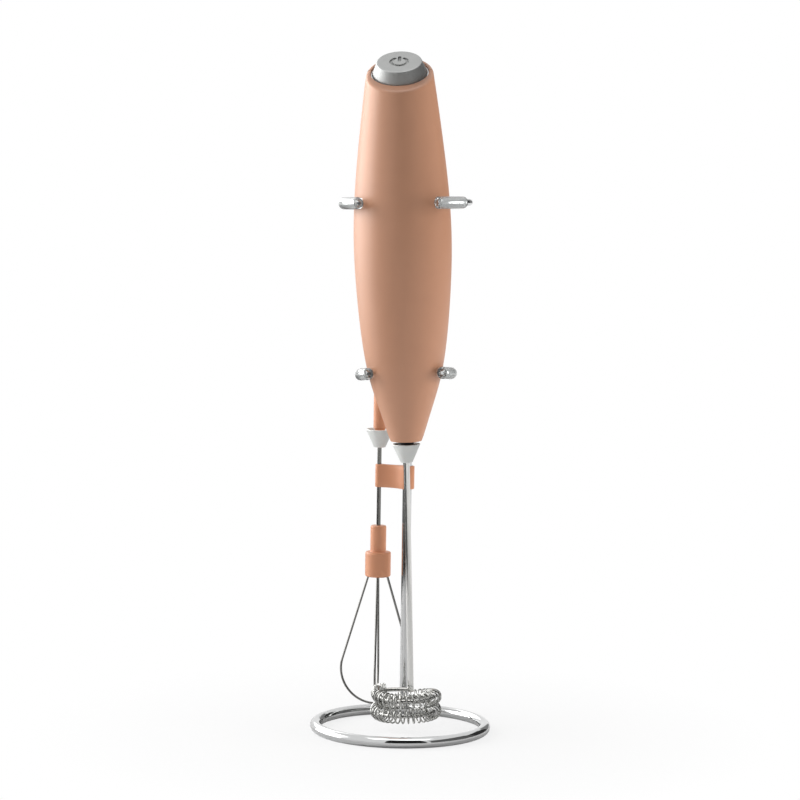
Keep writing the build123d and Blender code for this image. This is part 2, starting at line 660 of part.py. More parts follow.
core_route = [(0, 0, SPOKE_Z), (-SPOKE_LENGTH, SPOKE_SWING, SPOKE_Z)]
core_route += [core_corner(index) for index in range(CORE_CORNERS)]
core_bends = [SPOKE_BEND, SPOKE_BEND] + [CORE_BEND] * (CORE_CORNERS - 2)
whisk_core = wire(FilletPolyline(*core_route, radius=core_bends), CORE_WIRE)
froth_shaft = rod(FROTH_SHAFT, SPOKE_Z - FROTH_SHAFT / 2, FROTH_CONE_Z + CONE_FLOOR + SHAFT_GRIP)
froth_shaft = chamfer(froth_shaft.edges().sort_by(Axis.Z)[0], POST_CHAMFER) - whisk_core
save("whisk_core", whisk_core, FROTHER)
save("froth_shaft", froth_shaft, FROTHER)


def coil(start, count):
    """Wire turns threaded on the core, each tilted like a turn of a spring."""
    turns = []
    for index in range(count):
        angle = start + TURN_STEP * index
        ring = Rot(TURN_TILT - core_slope(angle), 0, 0) * Rot(90, 0, 0) * Torus(TURN_RADIUS, TURN_WIRE / 2)
        spot = Rot(0, 0, angle) * Pos(TIER_RADIUS, 0, core_height(angle))
        turns.append(Pos(TIER_X, 0, 0) * spot * ring)
    return Compound(turns)


# The lower tier's turns stand between the upper tier's where the two tiers meet.
tilt_shift = math.degrees(2 * TURN_RADIUS * math.sin(math.radians(TURN_TILT)) / TIER_RADIUS)
upper_start = CORE_HEIGHTS[0][0] + COIL_LEAD
lower_start = upper_start + TURN_STEP * (UPPER_TURNS - 0.5) + tilt_shift
save("whisk_coil_upper", coil(upper_start, UPPER_TURNS), FROTHER)
save("whisk_coil_lower", coil(lower_start, LOWER_TURNS), FROTHER)


# Egg whisk: stem, cone and shaft as on the froth whisk, and a collar that grips two wire loops
def wire_loop(radius):
    """A round-bottomed loop whose two sides lean in to the collar."""
    rise = COLLAR_Z - LOOP_CENTRE_Z
    turn = math.asin(radius / math.hypot(rise, LOOP_ENTRY)) - math.atan2(LOOP_ENTRY, rise)
    lean = math.degrees(turn)
    foot = (radius * math.cos(turn), LOOP_CENTRE_Z + radius * math.sin(turn))
    head_z = COLLAR_Z + LOOP_GRIP
    head = (LOOP_ENTRY - LOOP_GRIP * math.tan(turn), head_z)
    right = Line(head, foot)
    bottom = CenterArc((0, LOOP_CENTRE_Z), radius, lean, -(180 + 2 * lean))
    left = Line((-foot[0], foot[1]), (-head[0], head[1]))
    return wire(Plane.XZ * Wire([right, bottom, left]), LOOP_WIRE)


outer_loop = wire_loop(OUTER_LOOP_RADIUS)
inner_loop = Rot(0, 0, 90) * wire_loop(INNER_LOOP_RADIUS)
egg_shaft = rod(EGG_SHAFT, COLLAR_Z + EGG_SHAFT, EGG_CONE_Z + CONE_FLOOR + SHAFT_GRIP)
collar = rod(COLLAR_OD, COLLAR_Z, COLLAR_STEP_Z) + rod(COLLAR_NECK, COLLAR_STEP_Z, COLLAR_TOP)
outer_edges = collar.edges().filter_by(GeomType.CIRCLE).sort_by(Axis.Z)
rounded = [edge for edge in outer_edges if abs(edge.radius - COLLAR_OD / 2) < 0.01]
rounded.append(outer_edges[-1])
collar = fillet(rounded, COLLAR_EDGE)
collar = collar - egg_shaft - outer_loop - inner_loop
save("egg_stem", whisk_stem(EGG_CONE_Z, EGG_SHAFT), EGG)
save("egg_cone", cone_guard(EGG_CONE_Z, EGG_SHAFT), EGG)
save("egg_shaft", egg_shaft, EGG)
save("egg_collar", collar, EGG)
save("egg_loop_outer", outer_loop, EGG)
save("egg_loop_inner", inner_loop, EGG)

# Clip: two grips on one web, sprung onto the post and onto the egg whisk's shaft from behind
web_run = Vector(EGG_X, EGG_Y - RING_RADIUS)
web_angle = math.degrees(math.atan2(web_run.Y, web_run.X))
post_spot = Pos(0, RING_RADIUS)
egg_spot = Pos(EGG_X, EGG_Y)
web_spot = Pos(EGG_X / 2, (EGG_Y + RING_RADIUS) / 2) * Rot(0, 0, web_angle)
web = web_spot * Rectangle(web_run.length, CLIP_WEB)
plan = post_spot * Circle(CLIP_POST_OD / 2) + egg_spot * Circle(CLIP_EGG_OD / 2) + web
plan = fillet(plan.vertices(), CLIP_BLEND)
clip = Pos(0, 0, CLIP_Z) * extrude(plan, CLIP_HEIGHT)
ends = clip.edges().group_by(Axis.Z)
clip = fillet(ends[0] + ends[-1], CLIP_EDGE)
clip_top = CLIP_Z + CLIP_HEIGHT
clip = clip - post_spot * rod(CLIP_POST_BORE, CLIP_Z - 1, clip_top + 1)
clip = clip - EGG * rod(CLIP_EGG_BORE, CLIP_Z - 1, clip_top + 1)
for spot, mouth in ((post_spot, CLIP_POST_MOUTH), (egg_spot, CLIP_EGG_MOUTH)):
    clip = clip - spot * block(-mouth / 2, mouth / 2, 0, CLIP_POST_OD, CLIP_Z - 1, clip_top + 1)
save("whisk_clip", clip)
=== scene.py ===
import math

import bmesh
import bpy
from mathutils import Matrix, Vector


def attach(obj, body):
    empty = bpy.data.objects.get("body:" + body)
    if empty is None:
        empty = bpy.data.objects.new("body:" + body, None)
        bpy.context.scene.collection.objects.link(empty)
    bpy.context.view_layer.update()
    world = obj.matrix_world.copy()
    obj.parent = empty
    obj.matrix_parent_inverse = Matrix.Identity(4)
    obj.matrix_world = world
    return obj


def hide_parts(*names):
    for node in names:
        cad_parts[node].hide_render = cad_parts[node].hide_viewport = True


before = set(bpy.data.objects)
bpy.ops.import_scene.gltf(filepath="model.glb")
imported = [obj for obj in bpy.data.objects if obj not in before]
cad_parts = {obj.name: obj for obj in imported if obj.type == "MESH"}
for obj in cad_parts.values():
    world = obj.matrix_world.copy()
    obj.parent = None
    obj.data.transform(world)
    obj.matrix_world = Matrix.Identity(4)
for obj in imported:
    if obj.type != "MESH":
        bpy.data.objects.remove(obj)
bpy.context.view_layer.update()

# The base ring is round mild steel rod, bent to a circle, butt welded and chrome plated.
# It lies on the table, and everything else stands on it through the post.
MM = 0.001
RING_RADIUS = 29.4 * MM
RING_ROD = 1.9 * MM
GRAIN_DETAIL = 4.0
GRAIN_DEPTH = 0.05 * MM
GRAIN_SPAN = (0.3, 0.7)
CLOUD_SIZE = 30
LOW_COLOUR = 6
HIGH_COLOUR = 7
MIXED_COLOUR = 2
SHARP_EDGE = math.radians(32)
LONG_WALL = 2 * MM
WALL_END = 0.2 * MM
ON_AXIS = 1e-9


def fill(node, values):
    """Sets some of a node's inputs, by their names or places."""
    for name, value in values.items():
        node.inputs[name].default_value = value
    return node


def wire(tree, *pairs):
    """Links the sockets of a tree's nodes, from the first of each pair to the second."""
    for start, end in pairs:
        tree.links.new(start, end)


def grained(name, low, high, metal, rough, scale, bump, stretch=(1.0, 1.0, 1.0)):
    """A finish with a fine grain that shifts its colour, its roughness and its surface a little."""
    made = bpy.data.materials.new(name)
    made.use_nodes = True
    nodes = made.node_tree.nodes
    shader = fill(nodes["Principled BSDF"], {"Metallic": metal})
    coords = nodes.new("ShaderNodeTexCoord")
    turn = fill(nodes.new("ShaderNodeMapping"), {"Scale": stretch})
    grain = fill(nodes.new("ShaderNodeTexNoise"), {"Scale": scale, "Detail": GRAIN_DETAIL})
    cloud = fill(nodes.new("ShaderNodeTexNoise"), {"Scale": scale / CLOUD_SIZE})
    blend = nodes.new("ShaderNodeMix")
    blend.data_type = "RGBA"
    fill(blend, {LOW_COLOUR: (*low, 1.0), HIGH_COLOUR: (*high, 1.0)})
    gloss = fill(nodes.new("ShaderNodeMapRange"), {"From Min": GRAIN_SPAN[0], "From Max": GRAIN_SPAN[1]})
    fill(gloss, {"To Min": rough[0], "To Max": rough[1]})
    relief = fill(nodes.new("ShaderNodeBump"), {"Strength": bump, "Distance": GRAIN_DEPTH})
    wire(
        made.node_tree,
        (coords.outputs["Object"], turn.inputs["Vector"]),
        (turn.outputs["Vector"], grain.inputs["Vector"]),
        (turn.outputs["Vector"], cloud.inputs["Vector"]),
        (cloud.outputs["Fac"], blend.inputs[0]),
        (blend.outputs[MIXED_COLOUR], shader.inputs["Base Color"]),
        (grain.outputs["Fac"], gloss.inputs["Value"]),
        (gloss.outputs["Result"], shader.inputs["Roughness"]),
        (grain.outputs["Fac"], relief.inputs["Height"]),
        (relief.outputs["Normal"], shader.inputs["Normal"]),
    )
    return made


def placed(name, data):
    """A new object in the scene, at the origin."""
    made = bpy.data.objects.new(name, data)
    bpy.context.scene.collection.objects.link(made)
    return made


def as_mesh(bm, name):
    """A plain mesh of what was built."""
    mesh = bpy.data.meshes.new(name)
    bm.to_mesh(mesh)
    bm.free()
    return mesh


def settle(mesh, name, finish, body, slot, *nodes):
    """Makes a smooth mesh into a piece that rides on a body in place of its solids."""
    made = placed(name, mesh)
    mesh.materials.clear()
    mesh.materials.append(finish)
    mesh.shade_smooth()
    mesh.set_sharp_from_angle(angle=SHARP_EDGE)
    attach(made, body)
    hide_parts(*nodes)


def spun(outline, place=Matrix.Identity(4), steps=144, closed=False):
    """A mesh turned round the upright axis from (radius, height) points, then put in its place.

    Long walls get a ring of points near each end, so that they shade straight.
    """
    firm = []
    for index, point in enumerate(outline):
        firm.append(point)
        after = outline[(index + 1) % len(outline)]
        length = math.dist(point, after)
        if length > LONG_WALL and (closed or index + 1 < len(outline)):
            near_end = WALL_END / length
            for share in (near_end, 1 - near_end):
                firm.append(tuple(a + (b - a) * share for a, b in zip(point, after)))
    outline = firm
    count = len(outline)
    bm = bmesh.new()
    columns = []
    poles = {}
    for step in range(steps):
        angle = 2 * math.pi * step / steps
        column = []
        for index, (radius, height) in enumerate(outline):
            if radius < ON_AXIS:
                if index not in poles:
                    poles[index] = bm.verts.new((0, 0, height))
                column.append(poles[index])
            else:
                column.append(bm.verts.new((radius * math.cos(angle), radius * math.sin(angle), height)))
        columns.append(column)
    for step in range(steps):
        here = columns[step]
        there = columns[(step + 1) % steps]
        for index in range(count if closed else count - 1):
            corners = [here[index], there[index], there[(index + 1) % count], here[(index + 1) % count]]
            ring = list(dict.fromkeys(corners))
            if len(ring) > 2:
                bm.faces.new(ring)
    bmesh.ops.recalc_face_normals(bm, faces=bm.faces)
    bm.transform(place)
    return as_mesh(bm, "spun")


def disc(radius, centre, steps):
    """Points of a round section, as (radius, height) pairs round a centre."""
    turns = [2 * math.pi * step / steps for step in range(steps)]
    return [(centre[0] + radius * math.cos(t), centre[1] + radius * math.sin(t)) for t in turns]


chrome = grained("chrome", (0.56, 0.565, 0.565), (0.64, 0.645, 0.645), 1.0, (0.06, 0.10), 900.0, 0.006)
ring_mesh = spun(disc(RING_ROD, (RING_RADIUS, RING_ROD), 40), steps=240, closed=True)
settle(ring_mesh, "stand_base_ring", chrome, "stand", "chrome", "base_ring")

# The post is straight plated rod, butt welded upright on the back of the ring.
# A small weld bead fills its foot, and its top end is turned to a soft edge.
POST_ROD = 1.6
POST_TOP = 188.0
post_place = Matrix.Translation((0, RING_RADIUS, 0))
post_outline = [(0.0, 1.2), (2.3, 1.6), (2.25, 2.9), (1.95, 3.7), (1.7, 4.5), (POST_ROD, 5.4)]
post_outline += [(POST_ROD, POST_TOP - 0.5), (1.45, POST_TOP - 0.15), (1.1, POST_TOP), (0.0, POST_TOP)]


def in_metres(outline):
    """An outline's (radius, height) points, from millimetres to metres."""
    return [(radius * MM, height * MM) for radius, height in outline]


post_mesh = spun(in_metres(post_outline), post_place, steps=64)
settle(post_mesh, "stand_post", chrome, "stand", "chrome", "post")

# Two cradles of thinner plated rod hold the handle: open rings, welded to the post at the back.
# The upper ring meets the post itself, the lower one reaches it over a short straight stub.
CRADLE_ROD = 1.25 * MM
CRADLE_WELD = 1.4 * MM
SLEEVE_END = 1.35 * MM
FROTHER_Y = 5.25 * MM
UPPER_RADIUS = 21.6 * MM
UPPER_TURN = -7.1
UPPER_GAP = 38.1
UPPER_START = -90 + UPPER_TURN + UPPER_GAP
UPPER_END = 270 + UPPER_TURN - UPPER_GAP
LOWER_RADIUS = 15.55 * MM
LOWER_TURN = 0.8
LOWER_GAP = 53.4
LOWER_START = -90 + LOWER_TURN + LOWER_GAP
LOWER_END = 270 + LOWER_TURN - LOWER_GAP
DOMED_END = ((0.30, 0.96), (0.62, 0.79), (0.88, 0.48))
CUT_END = ((0.06, 0.96), (0.12, 0.86))


def skin(bm, loops, capped=True):
    """Faces from each loop of points to the next, and over both ends."""
    for here, there in zip(loops, loops[1:]):
        for step in range(len(here)):
            after = (step + 1) % len(here)
            bm.faces.new((here[step], here[after], there[after], there[step]))
    if capped:
        bm.faces.new(loops[0][::-1])
        bm.faces.new(loops[-1])


def swept(path, radius, sides=24, dome=False):
    """A round rod or wire along a path, its ends cut with a small chamfer or domed."""
    points = [Vector(p) for p in path]
    last = len(points) - 1
    tangents = []
    for index in range(len(points)):
        before, after = points[max(index - 1, 0)], points[min(index + 1, last)]
        tangents.append((after - before).normalized())
    side = tangents[0].orthogonal().normalized()
    rings = []
    for index, point in enumerate(points):
        side = (side - tangents[index] * side.dot(tangents[index])).normalized()
        rings.append((point, side.copy(), tangents[index].cross(side), 1.0))
    steps = DOMED_END if dome else CUT_END
    point, u, v, _ = rings[0]
    head = [(point - tangents[0] * radius * along, u, v, width) for along, width in steps]
    point, u, v, _ = rings[-1]
    tail = [(point + tangents[-1] * radius * along, u, v, width) for along, width in steps]
    rings = head[::-1] + rings + tail
    bm = bmesh.new()
    loops = []
    for point, u, v, width in rings:
        loop = []
        for step in range(sides):
            turn = 2 * math.pi * step / sides
            loop.append(bm.verts.new(point + (u * math.cos(turn) + v * math.sin(turn)) * radius * width))
        loops.append(loop)
    skin(bm, loops)
    bmesh.ops.recalc_face_normals(bm, faces=bm.faces)
    return as_mesh(bm, "swept")


def arc(place, radius, start, end, steps):
    """Points on a circle from one angle to another, in degrees, put in its place."""
    turns = [math.radians(start + (end - start) * step / steps) for step in range(steps + 1)]
    return [place @ Vector((radius * math.cos(t), radius * math.sin(t), 0)) for t in turns]


def joined(*meshes):
    """Several meshes as one."""
    bm = bmesh.new()
    for mesh in meshes:
        bm.from_mesh(mesh)
    return as_mesh(bm, "joined")


def cradle_place(middle, dip, rise):
    """Where a cradle's ring lies: its middle, its dip to the left and its rise to the front in degrees."""
    tip = Matrix.Rotation(math.radians(-dip), 4, "Y") @ Matrix.Rotation(math.radians(-rise), 4, "X")
    return Matrix.Translation(middle) @ tip


def cradle_rod(place, radius, start, end, steps):
    """A cradle's open ring of rod, which ends a little inside its sleeves."""
    inset = math.degrees(SLEEVE_END / radius)
    return swept(arc(place, radius, start + inset, end - inset, steps), CRADLE_ROD, dome=True)


upper_place = cradle_place((-0.7 * MM, FROTHER_Y, 183.5 * MM), 1.4, 2.8)
upper_rod = cradle_rod(upper_place, UPPER_RADIUS, UPPER_START, UPPER_END, 140)
weld = swept([upper_place @ Vector((0.7 * MM, y * MM, 0)) for y in (21.0, 22.6, 24.0)], CRADLE_WELD)
settle(joined(upper_rod, weld), "stand_upper_cradle", chrome, "stand", "chrome", "upper_cradle")

lower_place = cradle_place((0, FROTHER_Y, 124.35 * MM), 2.0, 7.0)
lower_rod = cradle_rod(lower_place, LOWER_RADIUS, LOWER_START, LOWER_END, 120)
stub = swept([lower_place @ Vector((0, y * MM, 0)) for y in (15.55, 20.0, 24.2)], CRADLE_ROD)
settle(joined(lower_rod, stub), "stand_lower_cradle", chrome, "stand", "chrome", "lower_cradle")

# Clear soft tube is pushed over each cradle's ends, so that the rod doesn't mark the handle.
# The tube stands a little past the rod, so its cut end is open and shows the rod's domed end inside.
SLEEVE_SIDES = 32
SLEEVE_CUTS = 30
LONG_RUN = 5.0
clear = bpy.data.materials.new("clear tube")
clear.use_nodes = True
clear_nodes = clear.node_tree.nodes
clear_shader = fill(clear_nodes["Principled BSDF"], {"Transmission Weight": 0.84, "IOR": 1.45})
clear_coords = clear_nodes.new("ShaderNodeTexCoord")
clear_haze = fill(clear_nodes.new("ShaderNodeTexNoise"), {"Scale": 420.0})
clear_gloss = fill(clear_nodes.new("ShaderNodeMapRange"), {"To Min": 0.05, "To Max": 0.20})
clear_tint = clear_nodes.new("ShaderNodeMix")
clear_tint.data_type = "RGBA"
fill(clear_tint, {LOW_COLOUR: (0.70, 0.72, 0.72, 1.0), HIGH_COLOUR: (0.80, 0.81, 0.80, 1.0)})
wire(
    clear.node_tree,
    (clear_coords.outputs["Object"], clear_haze.inputs["Vector"]),
    (clear_haze.outputs["Fac"], clear_gloss.inputs["Value"]),
    (clear_haze.outputs["Fac"], clear_tint.inputs[0]),
    (clear_gloss.outputs["Result"], clear_shader.inputs["Roughness"]),
    (clear_tint.outputs[MIXED_COLOUR], clear_shader.inputs["Base Color"]),
)
sleeve_section = (
    (12.95, 1.20), (13.0, 1.60), (12.93, 1.92), (12.72, 2.08), (12.4, 2.10), (0.6, 2.10), (0.28, 2.08),
    (0.07, 1.93), (0.0, 1.72), (0.06, 1.48), (0.25, 1.34), (0.7, 1.28), (1.1, 1.20),
)


def sleeve(place, radius, tip, way):
    """One sleeve from the cradle's tip round its arm: outside, lip and bore in one closed skin."""
    bm = bmesh.new()
    rings = []
    stops = []
    for (far, wide), (near, slim) in zip(sleeve_section, sleeve_section[1:]):
        cuts = SLEEVE_CUTS if far - near > LONG_RUN else 1
        for cut in range(cuts):
            stops.append((far + (near - far) * cut / cuts, wide + (slim - wide) * cut / cuts))
    lip, bore = sleeve_section[-1]
    depth = sleeve_section[0][0] - lip
    stops += [(lip + depth * cut / SLEEVE_CUTS, bore) for cut in range(SLEEVE_CUTS)]
    for run, width in stops:
        turn = math.radians(tip) + way * run * MM / radius
        out = Vector((math.cos(turn), math.sin(turn), 0))
        ring = []
        for step in range(SLEEVE_SIDES):
            angle = 2 * math.pi * step / SLEEVE_SIDES
            spot = out * (radius + width * MM * math.cos(angle))
            spot.z = width * MM * math.sin(angle)
            ring.append(bm.verts.new(place @ spot))
        rings.append(ring)
    skin(bm, rings + rings[:1], capped=False)
    bmesh.ops.recalc_face_normals(bm, faces=bm.faces)
    return as_mesh(bm, "sleeve")


for name, place, radius, start, end, node in (
    ("upper_cradle_sleeves", upper_place, UPPER_RADIUS, UPPER_START, UPPER_END, "upper_sleeves"),
    ("lower_cradle_sleeves", lower_place, LOWER_RADIUS, LOWER_START, LOWER_END, "lower_sleeves"),
):
    pair = joined(sleeve(place, radius, start, 1), sleeve(place, radius, end, -1))
    settle(pair, name, clear, "stand", "clear_sleeve", node)

# Inside the handle sit the motor, its mount, the drive socket, two cells, their contacts and leads.
# They are pressings, mouldings and turned parts, screwed or clipped to a chassis, in their solids' shapes.
ONE_POINT = 0.001 * MM
WINDING_GRAIN = (1, 1, 6)
TURNING_GRAIN = (1, 1, 0.1)
white_moulding = grained(
    "white moulding", (0.70, 0.70, 0.66), (0.80, 0.80, 0.77), 0.0, (0.38, 0.52), 1500.0, 0.15)
black_moulding = grained(
    "black moulding", (0.018, 0.018, 0.020), (0.035, 0.035, 0.038), 0.0, (0.35, 0.5), 1500.0, 0.15)
cell_wrap = grained("cell wrap", (0.055, 0.065, 0.085), (0.085, 0.095, 0.12), 0.0, (0.18, 0.28), 700.0, 0.05)
nickel = grained("nickel plate", (0.58, 0.57, 0.54), (0.68, 0.67, 0.64), 1.0, (0.18, 0.34), 1800.0, 0.08)
zinc_sheet = grained("zinc sheet", (0.50, 0.51, 0.52), (0.64, 0.65, 0.66), 1.0, (0.30, 0.48), 600.0, 0.12)
bronze = grained("sintered bronze", (0.48, 0.32, 0.14), (0.62, 0.44, 0.22), 1.0, (0.35, 0.5), 3000.0, 0.3)
copper = grained(
    "enamelled copper", (0.55, 0.22, 0.10), (0.72, 0.34, 0.18), 1.0, (0.2, 0.32), 2500.0, 0.1, WINDING_GRAIN)
ferrite = grained(
    "pressed ferrite", (0.045, 0.045, 0.048), (0.085, 0.085, 0.09), 0.0, (0.6, 0.8), 2600.0, 0.4)
lead_sleeve = grained("lead sleeve", (0.42, 0.02, 0.02), (0.55, 0.04, 0.035), 0.0, (0.3, 0.42), 1200.0, 0.08)
turned_steel = grained(
    "turned steel", (0.60, 0.60, 0.59), (0.74, 0.74, 0.72), 1.0, (0.12, 0.24), 1600.0, 0.06, TURNING_GRAIN)


def rounded_copy(node, finish, body, slot):
    """A solid's own mesh with its loose triangles joined, so that its round faces shade smoothly."""
    bm = bmesh.new()
    bm.from_mesh(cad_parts[node].data)
    bmesh.ops.remove_doubles(bm, verts=bm.verts, dist=ONE_POINT)
    settle(as_mesh(bm, node), "inner_" + node, finish, body, slot, node)


for node, finish, body, slot in (
    ("chassis", white_moulding, "handle", "white_plastic"),
    ("chassis_screws", nickel, "handle", "spring_steel"),
    ("switch_body", black_moulding, "handle", "black_plastic"),
    ("leads", lead_sleeve, "handle", "lead_sleeve"),
    ("cell_left", cell_wrap, "handle", "cell_wrap"),
    ("cell_right", cell_wrap, "handle", "cell_wrap"),
    ("bridge_contact", nickel, "handle", "spring_steel"),
    ("upper_contacts", nickel, "handle", "spring_steel"),
    ("contact_springs", nickel, "handle", "spring_steel"),
    ("motor_mount", white_moulding, "handle", "white_plastic"),
    ("motor_can", zinc_sheet, "handle", "motor_steel"),
    ("motor_endcap", white_moulding, "handle", "white_plastic"),
    ("motor_bushes", bronze, "handle", "bronze"),
    ("motor_magnets", ferrite, "handle", "ferrite"),
    ("motor_brushes", copper, "handle", "copper"),
    ("nose_bush", black_moulding, "handle", "black_plastic"),
    ("switch_plunger", white_moulding, "button", "white_plastic"),
    ("rotor_core", zinc_sheet, "rotor", "motor_steel"),
    ("rotor_windings", copper, "rotor", "copper"),
    ("commutator", copper, "rotor", "copper"),
    ("motor_shaft", turned_steel, "rotor", "polished_steel"),
    ("drive_coupling", black_moulding, "rotor", "black_plastic"),
):
    rounded_copy(node, finish, body, slot)
button_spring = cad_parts["button_spring"].data
button_spring.materials.clear()
button_spring.materials.append(nickel)

# The handle is moulded in two halves and sprayed with a matt soft-touch paint.
# The front shell carries the nose and the slanted rim, and the back one slides up off the cells.
NOSE = 101.0 * MM
NOSE_BORE = 4.4 * MM
NOSE_FLAT = (4.9 * MM, 5.1 * MM)
NOSE_ROUND = 0.42 * MM
NOSE_STEPS = 4
THROAT = 104.8 * MM
WALL = 1.25 * MM
COVER_FOOT = 138.0 * MM
COVER_HALF = 82.0
PARTING = 0.15 * MM
RIM = 228.3 * MM
RIM_ROUND = 1.8 * MM
RIM_STEPS = 8
RIM_FLAT = 0.12 * MM
RIM_TRIES = 12
SLANT = math.radians(27.0)
OPENING = 10.0 * MM
OPENING_EDGE = 0.1 * MM
LIP = 2.0 * MM
FOOT_ROWS = 26
BODY_ROWS = 60
COLUMNS = 240
FROTHER_X = -0.35 * MM
FROTHER_LEAN = math.radians(-1.85)
FROTHER_TURN = math.radians(-2.0)
LEAN_HEIGHT = 125.2 * MM
SAME_SPOT = 0.0005 * MM
handle_outline = (
    (5.5, 101.0), (9.0, 111.8), (12.2, 122.3), (14.2, 132.7), (16.0, 149.8),
    (16.85, 166.5), (16.45, 183.8), (14.5, 204.5), (11.95, 225.0), (10.4, 236.0),
)
frother_place = (
    Matrix.Translation((FROTHER_X, FROTHER_Y, LEAN_HEIGHT))
    @ Matrix.Rotation(FROTHER_LEAN, 4, "Y")
    @ Matrix.Rotation(FROTHER_TURN, 4, "Z")
    @ Matrix.Translation((0, 0, -LEAN_HEIGHT))
)


def natural_spline(points):
    """Radius at any height, through (radius, height) points with no bend at the two ends."""
    heights = [p[1] for p in points]
    radii = [p[0] for p in points]
    count = len(points)
    gaps = [heights[i + 1] - heights[i] for i in range(count - 1)]
    pull = [0.0] * count
    share = [0.0] * count
    for i in range(1, count - 1):
        rise = 6 * ((radii[i + 1] - radii[i]) / gaps[i] - (radii[i] - radii[i - 1]) / gaps[i - 1])
        weight = 2 * (gaps[i - 1] + gaps[i]) - gaps[i - 1] * share[i - 1]
        share[i] = gaps[i] / weight
        pull[i] = (rise - gaps[i - 1] * pull[i - 1]) / weight
    for i in range(count - 2, 0, -1):
        pull[i] -= share[i] * pull[i + 1]

    def radius(height):
        z = height / MM
        i = min(max(sum(1 for h in heights if h <= z) - 1, 0), count - 2)
        a = (heights[i + 1] - z) / gaps[i]
        b = 1 - a
        bend = ((a ** 3 - a) * pull[i] + (b ** 3 - b) * pull[i + 1]) * gaps[i] ** 2 / 6
        return (a * radii[i] + b * radii[i + 1] + bend) * MM

    return radius


handle_radius = natural_spline(handle_outline)


def rim_height(radius, angle):
    """Height of the slanted rim's plane over a point of the handle."""
    return RIM + radius * math.sin(angle) * math.tan(SLANT)


def handle_column(angle):
    """Outer and inner points of the handle's wall up one side, from the nose's bore to the opening."""
    across = Vector((math.cos(angle), math.sin(angle), 0))
    crest = RIM
    for _ in range(RIM_TRIES):
        crest = rim_height(handle_radius(crest), angle)
    edge = handle_radius(crest)
    below = 0.4 * MM
    fall = (handle_radius(crest - below) - edge) / below
    slope = math.sin(angle) * math.tan(SLANT)
    down = Vector((fall, -1)).normalized()
    inward = Vector((-1, -slope)).normalized()
    half = math.acos(max(-1.0, min(1.0, down.dot(inward)))) / 2
    opening = OPENING / math.sqrt(math.cos(angle) ** 2 + (math.sin(angle) / math.cos(SLANT)) ** 2)
    room = (edge - opening - RIM_FLAT) * math.hypot(1, slope)
    reach = min(RIM_ROUND / math.tan(half), room)
    round_radius = reach * math.tan(half)
    corner = Vector((edge, crest))
    middle = corner + (down + inward).normalized() * round_radius / math.sin(half)
    start = corner + down * reach - middle
    end = corner + inward * reach - middle
    swing = start.angle_signed(end)
    outer = [(NOSE_BORE, NOSE), (NOSE_FLAT[0], NOSE)]
    for step in range(NOSE_STEPS + 1):
        turn = math.pi / 2 * step / NOSE_STEPS
        outer.append((NOSE_FLAT[1] + NOSE_ROUND * math.sin(turn), NOSE + NOSE_ROUND * (1 - math.cos(turn))))
    bore_row = len(outer) + 1
    for step in range(1, FOOT_ROWS + 1):
        height = NOSE + NOSE_ROUND + (COVER_FOOT - NOSE - NOSE_ROUND) * step / FOOT_ROWS
        outer.append((handle_radius(height), height))
    split = len(outer) - 1
    shoulder = (middle + start).y
    for step in range(1, BODY_ROWS + 1):
        height = COVER_FOOT + (shoulder - COVER_FOOT) * step / BODY_ROWS
        outer.append((handle_radius(height), height))
    wall_rows = len(outer)
    for step in range(1, RIM_STEPS + 1):
        turn = -swing * step / RIM_STEPS
        over = start.x * math.cos(turn) - start.y * math.sin(turn)
        high = start.x * math.sin(turn) + start.y * math.cos(turn)
        outer.append(tuple(middle + Vector((over, high))))
    last = outer[-1][0]
    for share in (0.5, 1.0):
        radius = last + (opening + OPENING_EDGE - last) * share
        outer.append((radius, rim_height(radius, angle)))
    outer.append((opening, rim_height(opening, angle) - OPENING_EDGE))
    points = [across * radius + Vector((0, 0, height)) for radius, height in outer]
    inner = []
    deep = Vector((0, math.sin(SLANT), -math.cos(SLANT))) * LIP
    ceiling = rim_height(edge - WALL, angle) - LIP / math.cos(SLANT)
    top_row = wall_rows + 3
    for index in range(len(outer)):
        if index <= split:
            height = max(outer[index][1], THROAT)
            radius = max(handle_radius(height) - WALL, NOSE_BORE) if index > bore_row else NOSE_BORE
        elif index <= top_row:
            share = (index - split) / (top_row - split)
            height = COVER_FOOT + (ceiling - COVER_FOOT) * share
            radius = handle_radius(height) - WALL
        else:
            inner.append(None)
            continue
        inner.append(across * radius + Vector((0, 0, height)))
    under = across * opening + Vector((0, 0, rim_height(opening, angle))) + deep
    top = inner[top_row]
    late = [index for index, point in enumerate(inner) if point is None]
    for place, index in enumerate(late):
        inner[index] = top.lerp(under, (place + 1) / len(late))
    return points, inner, split


angles = [2 * math.pi * (step + 0.5) / COLUMNS for step in range(COLUMNS)]
columns = [handle_column(angle) for angle in angles]
split_row = columns[0][2]
low_angle = math.radians(90 - COVER_HALF)
high_angle = math.radians(90 + COVER_HALF)
in_cover = [low_angle < (angle + math.pi / COLUMNS) % (2 * math.pi) < high_angle for angle in angles]


